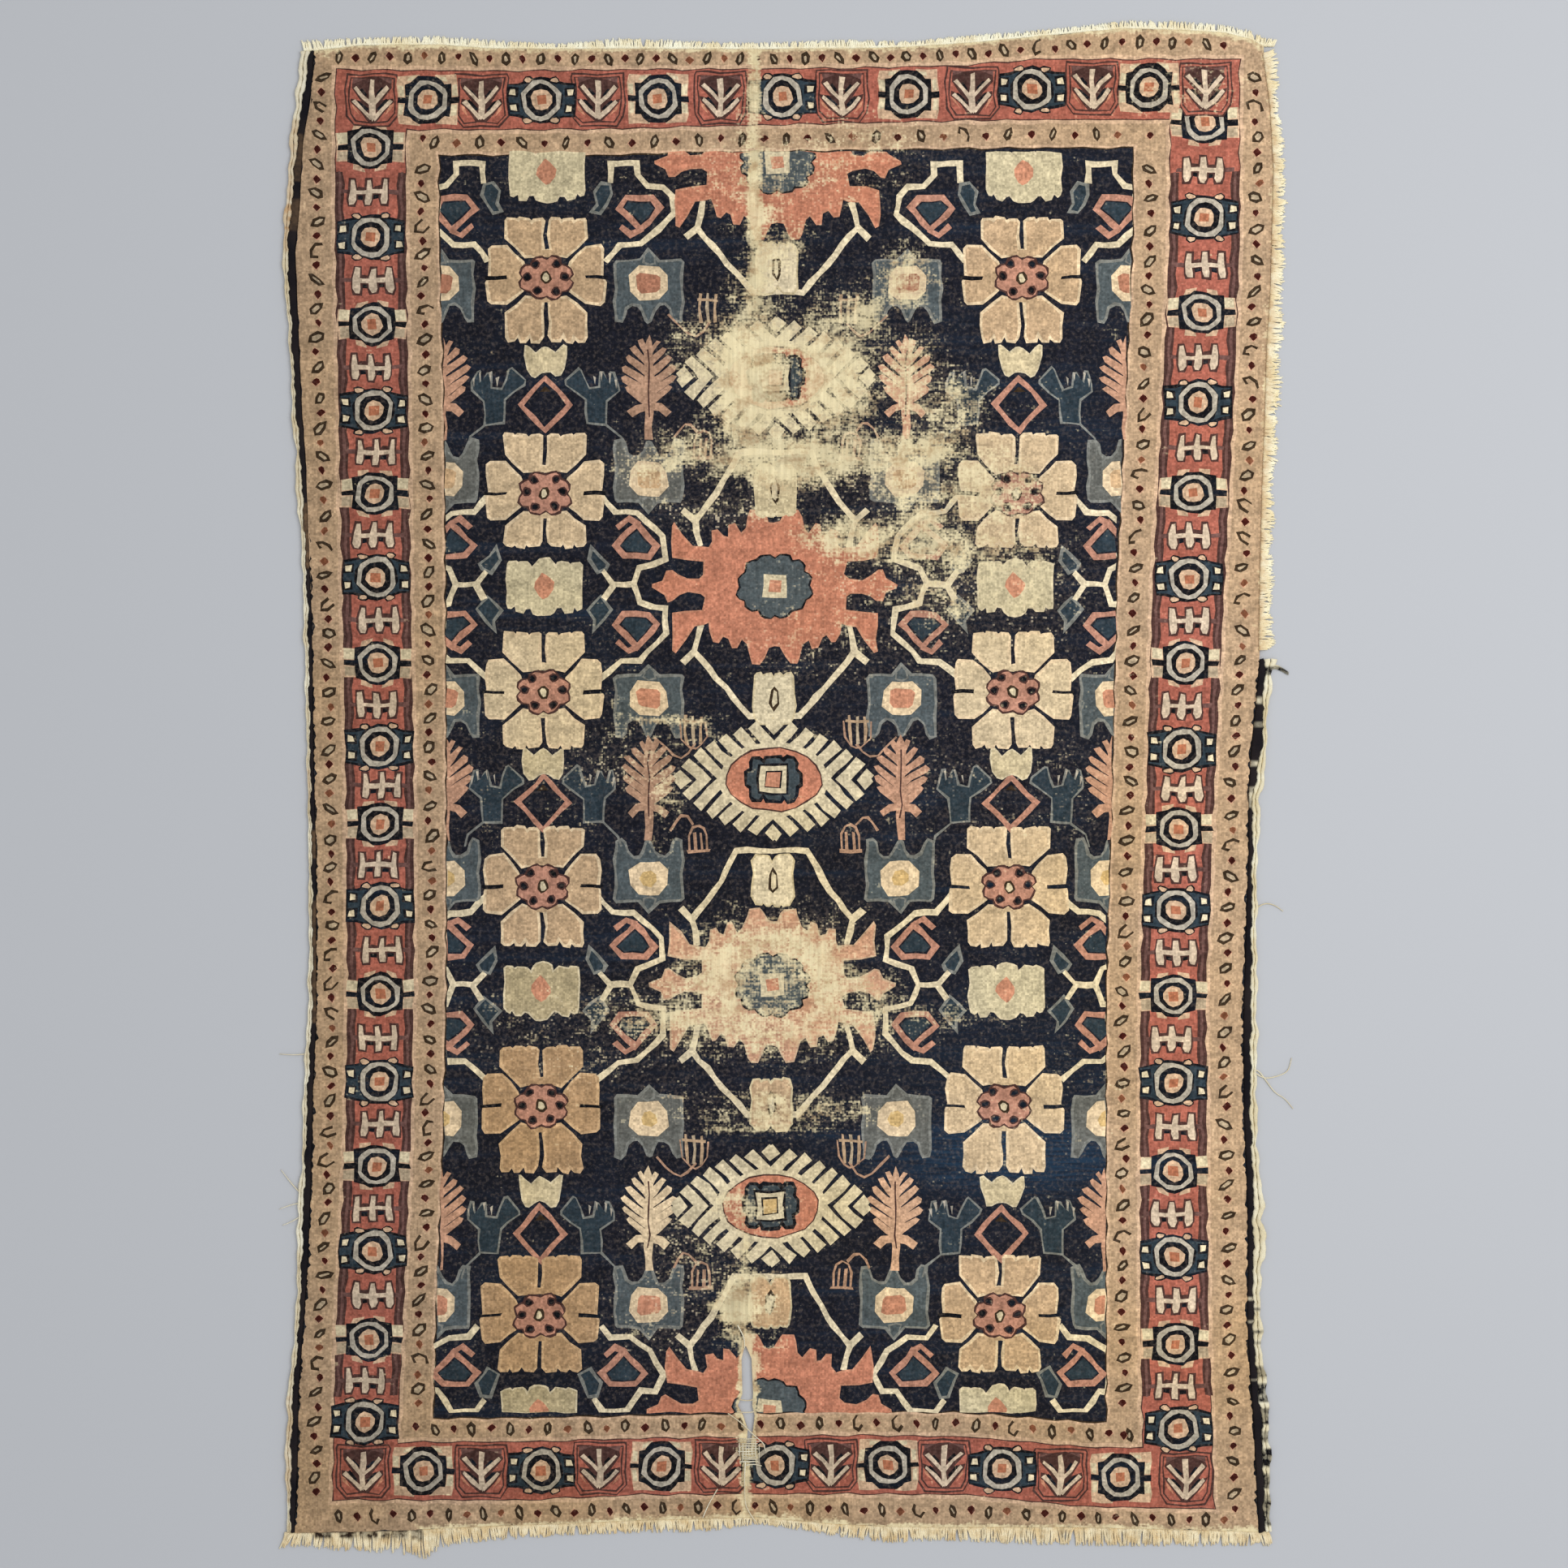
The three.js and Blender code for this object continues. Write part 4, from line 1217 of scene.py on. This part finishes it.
# Where a piece shows its yarn's other colour: top, bottom and how much, over its whole width
otherColour = {
    "overcasting_left": [(841, 780, 0.35), (757, 716, 0.35), (363, 279, 0.7), (-60, -96, 0.6),
                         (-151, -309, 0.5)],
    "overcasting_right": [(113, 104, 0.9), (80, 74, 0.5), (30, 23, 0.9), (-4, -30, 0.85),
                          (-664, -668, 0.8), (-694, -697, 0.8), (-770, -772, 0.6)],
    "cord_left": [(860, 690, 0.55), (752, 712, 0.9), (20, -20, 0.4), (-792, -930, 0.4)],
    "cord_right": [(152, 141, 1), (-678, -682, 0.9), (-707, -711, 0.9), (-722, -725, 0.9), (-754, -768, 1),
                   (-776, -800, 1), (-808, -829, 1), (-838, -852, 1), (-860, -884, 1), (-893, -912, 1),
                   (-920, -960, 1)],
}
otherColour = {name: [(-999, 999, *row) for row in rows] for name, rows in otherColour.items()}
# and at the left of the foot a dark line above the fringe, in dashes
otherColour["bottom_fringe"] = [
    (left, right, -962, -977, 1) for left, right in ((-608, -586), (-576, -553), (-550, -526), (-522, -510),
                                                     (-508, -487), (-483, -468))
]


class Strands:
    def __init__(self, name):
        self.name = name
        self.points = []
        self.faces = []
        self.shades = []

    def rings(self, rings, shade):
        # a closed tube through rings that all have the same number of points
        corners = len(rings[0])
        base = len(self.points)
        for number, ring in enumerate(rings):
            self.points += ring
            self.shades += [shade[0] + (shade[1] - shade[0]) * number / len(rings)] * corners
        for step in range(len(rings) - 1):
            row = base + step * corners
            for i in range(corners):
                j = (i + 1) % corners
                self.faces.append([row + i, row + j, row + corners + j, row + corners + i])
        self.faces.append([base + i for i in reversed(range(corners))])
        self.faces.append([len(self.points) - corners + i for i in range(corners)])

    def sweep(self, path, section, spacing=0, slant=0, shade=(0, 0)):
        # section(length, share) gives (across, up) pairs, counter-clockwise seen along the path
        path = np.array(path, dtype=float)
        lengths = np.concatenate([[0], np.cumsum(np.hypot(*np.diff(path[:, :2], axis=0).T))])
        places = np.linspace(0, lengths[-1], round(lengths[-1] / spacing) + 1) if spacing else lengths
        spots = np.column_stack([np.interp(places, lengths, path[:, axis]) for axis in range(3)])
        ahead = np.gradient(spots[:, :2], axis=0)
        ahead /= np.hypot(*ahead.T)[:, None] + 1e-9
        rings = []
        for place, (x, y, z), (dx, dy) in zip(places, spots, ahead):
            rings.append([(x + dy * u + dx * u * slant, y - dx * u + dy * u * slant, max(z + v, 0))
                          for u, v in section(place, place / lengths[-1])])
        self.rings(rings, shade)

    def thread(self, path, thickness, taper=0.6, shade=(0, 0), corners=5):
        # a round yarn through (x, y, z) points, z being the height of its middle
        def section(place, share):
            radius = thickness / 2 * (1 - (1 - taper) * share)
            return [(radius * math.cos(angle), radius * math.sin(angle)) for angle in anglesOf(corners)]
        self.sweep(path, section, shade=shade)

    def finish(self, node, material):
        thing = meshObject(self.name, self.points, self.faces)
        thing.data.materials.append(material)
        shades = np.array(self.shades)
        x, y, _ = np.array(self.points).T
        for left, right, top, bottom, share in otherColour.get(self.name, []):
            inside = np.minimum(np.minimum(x - left, right - x), np.minimum(top - y, y - bottom))
            shades = np.maximum(shades, np.clip(inside / 3 + 0.5, 0, 1) * share)
        setAttribute(thing.data, "shade", "FLOAT", "POINT", "value", np.clip(shades, 0, 1))
        thing.data.polygons.foreach_set("use_smooth", [True] * len(thing.data.polygons))
        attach(thing, "root")
        if node:
            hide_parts(node)
        print(self.name + ":", sum(len(face) - 2 for face in self.faces), "triangles")
        return thing


def wander(y, side):
    # how far the line between the overcasting and the cord strays, in mm
    slow = 0.75 * (math.sin(y / 7.3 + side) + math.sin(y / 11.9 + 2 * side) + 0.8 * math.sin(y / 3.7))
    return slow + 0.9 * math.sin(y / 1.6) * math.sin(y / 9)


pathStep = 4            # mm, between the points of a path along a side


def downTheSide(top, bottom):
    return np.linspace(top, bottom, round((top - bottom) / pathStep))


woundYarn = dict(turn=3.4, swell=0.16, slant=0.25, thinnest=0.8)     # turn in mm along the edge


def overcasting(rows, outward, name, node, material):
    # yarn wound round the edge, one swelling for each turn
    turn, rise = woundYarn["turn"], woundYarn["swell"]
    strands = Strands(name)
    top, bottom = rows[0][0], rows[-1][0]
    path = [(along(rows, y, 1) + outward * (seam + along(rows, y, 2) + wander(y, outward)) / 2, y, 0)
            for y in downTheSide(top, bottom)]

    def section(place, share):
        y = top + (bottom - top) * share
        half = max(woundYarn["thinnest"], (along(rows, y, 2) + wander(y, outward) - seam) / 2)
        swell = 1 - rise + rise * abs(math.sin(math.pi * place / turn))
        return [(half * (0.9 + 0.1 * swell) * math.cos(angle),
                 bindingHeight / 2 + bindingHeight / 2 * swell * math.sin(angle))
                for angle in anglesOf(10, 0.5)]
    strands.sweep(path, section, spacing=turn / 4, slant=woundYarn["slant"])
    return strands.finish(node, material)


pliedCord = dict(yarns=2, lay=14, lobes=3, lobeDepth=0.12, thinnest=2.4)      # lay is mm for each twist


def cord(strands, rows, outward):
    # plied yarns side by side outside the overcasting, lumpy and uneven
    top, bottom = rows[0][0], rows[-1][0]
    count, depth = pliedCord["yarns"], pliedCord["lobeDepth"]

    def limits(y):
        near = along(rows, y, 2) + seam + wander(y, outward)
        lumps = math.sin(y / 8.7 + outward) + math.sin(y / 14.3) + math.sin(y / 5.1 + 2)
        far = along(rows, y, 2) + along(rows, y, 3) * (0.9 + 0.1 * lumps)
        return near, max(near + pliedCord["thinnest"], far)
    for number in range(count):
        path = []
        for y in downTheSide(top, bottom):
            near, far = limits(y)
            path.append((along(rows, y, 1) + outward * (near + (far - near) * (number + 0.5) / count), y, 0))

        def section(place, share, number=number):
            near, far = limits(top + (bottom - top) * share)
            half = (far - near) / count / 2 + 0.15
            twist = 2 * math.pi * (place / pliedCord["lay"] + number * 0.3)
            ring = []
            for angle in anglesOf(10):
                lobe = 1 - depth + depth * math.cos(pliedCord["lobes"] * angle - twist)
                ring.append((half * lobe * math.cos(angle), cordHeight / 2 * (1 + lobe * math.sin(angle))))
            return ring
        strands.sweep(path, section, spacing=1.8)


def selvedge(rows, outward, looseYarns, name, node, material):
    strands = Strands(name)
    cord(strands, rows, outward)
    for width, path in looseYarns:
        thickness = min(width, threadHeight)
        points = [(x, y, thickness / 2 + 0.1) for x, y in smoothed(path)]
        for shift in ([0] if width < 3 else [-2.7, -0.9, 0.9, 2.7]):    # a wide one is a bundle of four
            spread = [(x, y + shift * (1 - 0.4 * i / len(points)), z) for i, (x, y, z) in enumerate(points)]
            strands.thread(spread, thickness, 0.5)
    return strands.finish(node, material)


def smoothed(path, steps=4):
    # a Catmull-Rom curve through the points
    path = [np.array(point, dtype=float) for point in path]
    path = [2 * path[0] - path[1], *path, 2 * path[-1] - path[-2]]
    curve = []
    for a, b, c, d in zip(path, path[1:], path[2:], path[3:]):
        for step in range(steps):
            t = step / steps
            curve.append(0.5 * (2 * b + (c - a) * t + (2 * a - 5 * b + 4 * c - d) * t * t
                                + (3 * b - a - 3 * c + d) * t ** 3))
    return [tuple(point) for point in curve + [path[-2]]]


fringeLocks = dict(     # mm; overhang is past the cloth's corners, shortest and longest are shares
    pitch=12.6, strands=10, overhang=14, shortest=0.74, longest=1.1,
    lean=0.16, gather=1, spread=0.8, stray=1.6, bend=1.3,
)
cornerReach, cornerLean = 36, 0.55      # where and how much the locks fan out


def fanAt(distance):
    return max(0, 1 - distance / cornerReach)


def either(seeds, most):
    # a random amount, one way or the other
    return seeds.uniform(-most, most)


def endFringe(rows, outward, seed, name, node, material, thickness, dullest):
    seeds = random.Random(seed)
    strands = Strands(name)
    locks = fringeLocks
    overhang = locks["overhang"]
    first, last = rows[0][0] - overhang, rows[-1][0] + overhang
    line = [(first, rows[0][1]), *((x, edge) for x, edge, _ in rows), (last, rows[-1][1])]
    for number in range(2):     # the woven strip, two twisted yarns
        away = seam + backingWidth * (0.25 + 0.5 * number)
        path = [(x, y + outward * away, 0) for x, y in line]

        def section(place, share, number=number):
            lean = 0.55 * math.sin(2 * math.pi * (place / 5 + number / 2))
            return [((0.8 + 0.1 * math.sin(place)) * math.cos(angle) + 0.2 * lean,
                     backingHeight / 2 * (1 + (0.9 + 0.1 * lean) * math.sin(angle))) for angle in anglesOf(6)]
        strands.sweep(path, section, spacing=1.6)
    count = round((last - first) / locks["pitch"])
    strandCount = locks["strands"]
    pitch = (last - first) / count
    for index in range(count):
        x = first + pitch * (index + 0.5)
        fan = fanAt(x - first) - fanAt(last - x)
        lean = -fan * cornerLean + either(seeds, locks["lean"])
        free = abs(along(rows, x, 2) - along(rows, x, 1)) - seam
        gather = either(seeds, locks["gather"])
        for strand in range(strandCount):
            rootX = x + pitch * ((strand + 0.5) / strandCount - 0.5) * 0.98
            root = along(rows, rootX, 1) + outward * seam
            long = free * seeds.uniform(locks["shortest"], locks["longest"])
            tipX = x + gather + (rootX - x) * locks["spread"] + lean * long + either(seeds, locks["stray"])
            bend = either(seeds, locks["bend"])
            path = []
            for step in range(5):
                t = step / 4
                path.append((rootX + (tipX - rootX) * t + bend * math.sin(math.pi * t),
                             root + outward * (0.6 + (long - 0.6) * t),
                             thickness * 0.5 + (1 - t) ** 1.5 * (backingHeight - thickness * 0.9)))
            dull = seeds.choice((0, 0, 0.08, 0.2, 0.42)) * dullest
            strands.thread(path, thickness * seeds.uniform(0.8, 1.2), 0.75, (dull, dull * 0.3))
    return strands.finish(node, material)


weftEnds = dict(        # mm, but for the shares shortest and longest
    strands=5, closest=2.6, widest=3.5, shortest=0.62, longest=1.06,
    drift=3.4, thinnest=1.9, thickest=2.7,
)


def frayedWefts(rows, seed, name, node, material):
    seeds = random.Random(seed)
    strands = Strands(name)
    path = [(edge + seam + backingWidth / 2, y, 0) for y, edge, _ in rows]

    def section(place, share):
        grow = 1 + 0.12 * math.sin(2 * math.pi * place / 5)
        return [(backingWidth / 2 * math.cos(angle), backingHeight / 2 * (1 + grow * 0.88 * math.sin(angle)))
                for angle in anglesOf(6)]
    strands.sweep(path, section, spacing=1.7)
    bundle = rows[0][0] - 2
    while bundle > rows[-1][0]:
        edge, reach = along(rows, bundle, 1), along(rows, bundle, 2)
        reach *= 0.84 + 0.1 * math.sin(bundle / 13) + 0.1 * math.sin(bundle / 4.1)
        fan = fanAt(rows[0][0] - bundle) * 0.6
        drift = either(seeds, weftEnds["drift"])
        for _ in range(weftEnds["strands"]):
            long = reach * seeds.uniform(weftEnds["shortest"], weftEnds["longest"])
            start, end = either(seeds, 1.6), either(seeds, 2.6) + drift
            path = []
            for step in range(6):
                t = step / 5
                x = edge - 1.5 + (long + 1.5) * t
                z = backingHeight + 2.4 * (1 - t) ** 2 - t * (backingHeight - 1)
                path.append((x, bundle + start + (end - start) * t * t + fan * max(0, x - edge), z))
            thickness = seeds.uniform(weftEnds["thinnest"], weftEnds["thickest"])
            strands.thread(path, thickness, 0.6, (1, -0.45))
        bundle -= seeds.uniform(weftEnds["closest"], weftEnds["widest"])
    return strands.finish(node, material)


# Threads sewn over the tear, and the stitches that hold its lower end
darningThreads = [
    [(-72.5, -814), (-56, -826), (-38, -843), (-27, -853), (-24, -863)],
    [(-50, -876), (-51, -902), (-50, -928), (-46, -940), (-36, -955)],
    [(-86, -912), (-97, -931), (-105, -949)],
    [(-49, -881), (-39, -880), (-29, -882)],
    [(-59, -796), (-48, -797.5), (-37, -796)],
    [(-61, -812), (-49, -813), (-38, -812)],
    [(-60, -700), (-52, -716), (-51, -730)],
]
threadThickness = 1.7
stitchedPatch = dict(left=-60, right=-31, top=-847, bottom=-877, pitch=3.3)


def darning(name, material):
    seeds = random.Random(3)
    strands = Strands(name)
    for path in darningThreads:
        strands.thread([(x, y, pileHeight + 0.5) for x, y in smoothed(path)], threadThickness, 0.8)
    patch = stitchedPatch
    low, high = pileHeight - 0.6, pileHeight + 0.7      # where a stitch dives in and where it lies on top
    y = patch["top"]
    while y > patch["bottom"]:
        left, right = patch["left"] + seeds.uniform(0, 7), patch["right"] - seeds.uniform(0, 7)
        middle = (left + right) / 2
        strands.thread([(left, y, low), (middle, y + either(seeds, 1), high),
                        (right, y + either(seeds, 1), low)], seeds.uniform(1.2, 1.9), 0.8)
        y -= patch["pitch"]
    x = patch["left"] + 2
    while x < patch["right"]:
        top, bottom = patch["top"] - seeds.uniform(0, 8), patch["bottom"] + seeds.uniform(0, 8)
        strands.thread([(x, top, low), (x + either(seeds, 1), (top + bottom) / 2, pileHeight + 1),
                        (x, bottom, low)], seeds.uniform(1, 1.6), 0.8)
        x += patch["pitch"] * 1.3
    return strands.finish(None, material)


# Loose yarns beside the cords: width, points
looseYarnsRight = [
    (7, [(628, 152), (640, 151), (654, 143)]),
    (2, [(609, -169), (615, -159), (626, -155), (637, -158), (647, -165)]),
    (2, [(609, -371), (617, -374), (635, -398), (649, -408), (660, -421)]),
    (2, [(611, -375), (624, -381), (641, -378), (653, -371), (658, -355)]),
]
looseYarnsLeft = [
    (2, [(-618, -350), (-636, -351), (-654, -350)]),
    (2, [(-626, -531), (-638, -518), (-652, -500)]),
    (2, [(-627, -543), (-640, -546), (-654, -551)]),
    (2, [(-627, -561), (-640, -568), (-650, -572)]),
]


# The pieces

chart = Chart()
drawRug(chart)
print("chart:", len(chart.shapes), "shapes")
rug = clothObject(chart)
rug.data.materials.append(pileMaterial())
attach(rug, "root")
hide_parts("rug_body")
clothArea = abs(signedArea(clothOutline)) - abs(signedArea(tearOutline))
clothArea / 1e6

# Yarns: name, pale and deep shade, size of the patches, other colour
overcastYarn = yarnMaterial("binding", (20, 19, 24), (40, 34, 34), 14, (124, 98, 72))
cordYarn = yarnMaterial("cord", (232, 225, 202), (206, 190, 156), 18, (186, 150, 108))
darkEndYarn = yarnMaterial("cord_dark_end", (236, 228, 200), (214, 198, 158), 18, (24, 22, 25))
fringeYarn = yarnMaterial("fringe", (255, 251, 226), (246, 232, 192), 25, (150, 118, 84))
weftYarn = yarnMaterial("weft_ends", (255, 248, 218), (244, 228, 184), 40, (204, 172, 130))
overcastYarnRight = yarnMaterial("binding_right", (20, 19, 24), (40, 34, 34), 14, (222, 210, 180))
fringeYarnLow = yarnMaterial("fringe_low", (248, 234, 198), (230, 204, 156), 60, (48, 36, 28))

overcasting(leftSide, -1, "overcasting_left", "side_binding_left", overcastYarn)
overcasting(rightSide, 1, "overcasting_right", "side_binding_right", overcastYarnRight)
selvedge(leftSide, -1, looseYarnsLeft, "cord_left", "selvedge_cord_left", cordYarn)
selvedge(rightSide, 1, looseYarnsRight, "cord_right", "selvedge_cord_right", darkEndYarn)
endFringe(topEnd, 1, 23, "top_fringe", "fringe_top", fringeYarn, 2.4, 0.5)
endFringe(bottomEnd, -1, 37, "bottom_fringe", "fringe_bottom", fringeYarnLow, 2.5, 0.9)
frayedWefts(frayedSide, 11, "frayed_wefts", "frayed_weft_right", weftYarn)
darning("darning_threads", cordYarn)


# Floor, light and camera

floorSize, floorDrop = 12, 0.0005       # m, the drop keeps the floor clear of the underside
lampPlace = (2.0, 0.6, 3.2)
cameraHeight = 2.8175                   # m above the pile

bpy.ops.mesh.primitive_plane_add(size=floorSize, location=(0, 0, -floorDrop))
floor = bpy.context.object
floor.name = "floor"
floorPaint = bpy.data.materials.new("floor_paint")
floorPaint.use_nodes = True
shader = floorPaint.node_tree.nodes["Principled BSDF"]
shader.inputs["Base Color"].default_value = (0.5, 0.51, 0.53, 1)
shader.inputs["Roughness"].default_value = 0.9
floor.data.materials.append(floorPaint)

scene = bpy.context.scene
world = bpy.data.worlds.new("studio")
world.use_nodes = True
sky = world.node_tree.nodes["Background"]
sky.inputs["Color"].default_value = (0.95, 0.97, 1, 1)
sky.inputs["Strength"].default_value = 0.75
scene.world = world
lamp = bpy.data.lights.new("softbox", "AREA")
lamp.shape = "DISK"
lamp.size = 2.5
lamp.energy = 60
softbox = bpy.data.objects.new("softbox", lamp)
softbox.location = lampPlace
softbox.rotation_euler = (-Vector(lampPlace)).to_track_quat("-Z", "Y").to_euler()
scene.collection.objects.link(softbox)

lens = bpy.data.cameras.new("camera")
lens.lens = 50
lens.sensor_width = 36
camera = bpy.data.objects.new("camera", lens)
camera.location = (chartOrigin[0] / 1000, chartOrigin[1] / 1000, pileHeight / 1000 + cameraHeight)
scene.collection.objects.link(camera)
scene.camera = camera
scene.view_settings.view_transform = "Standard"
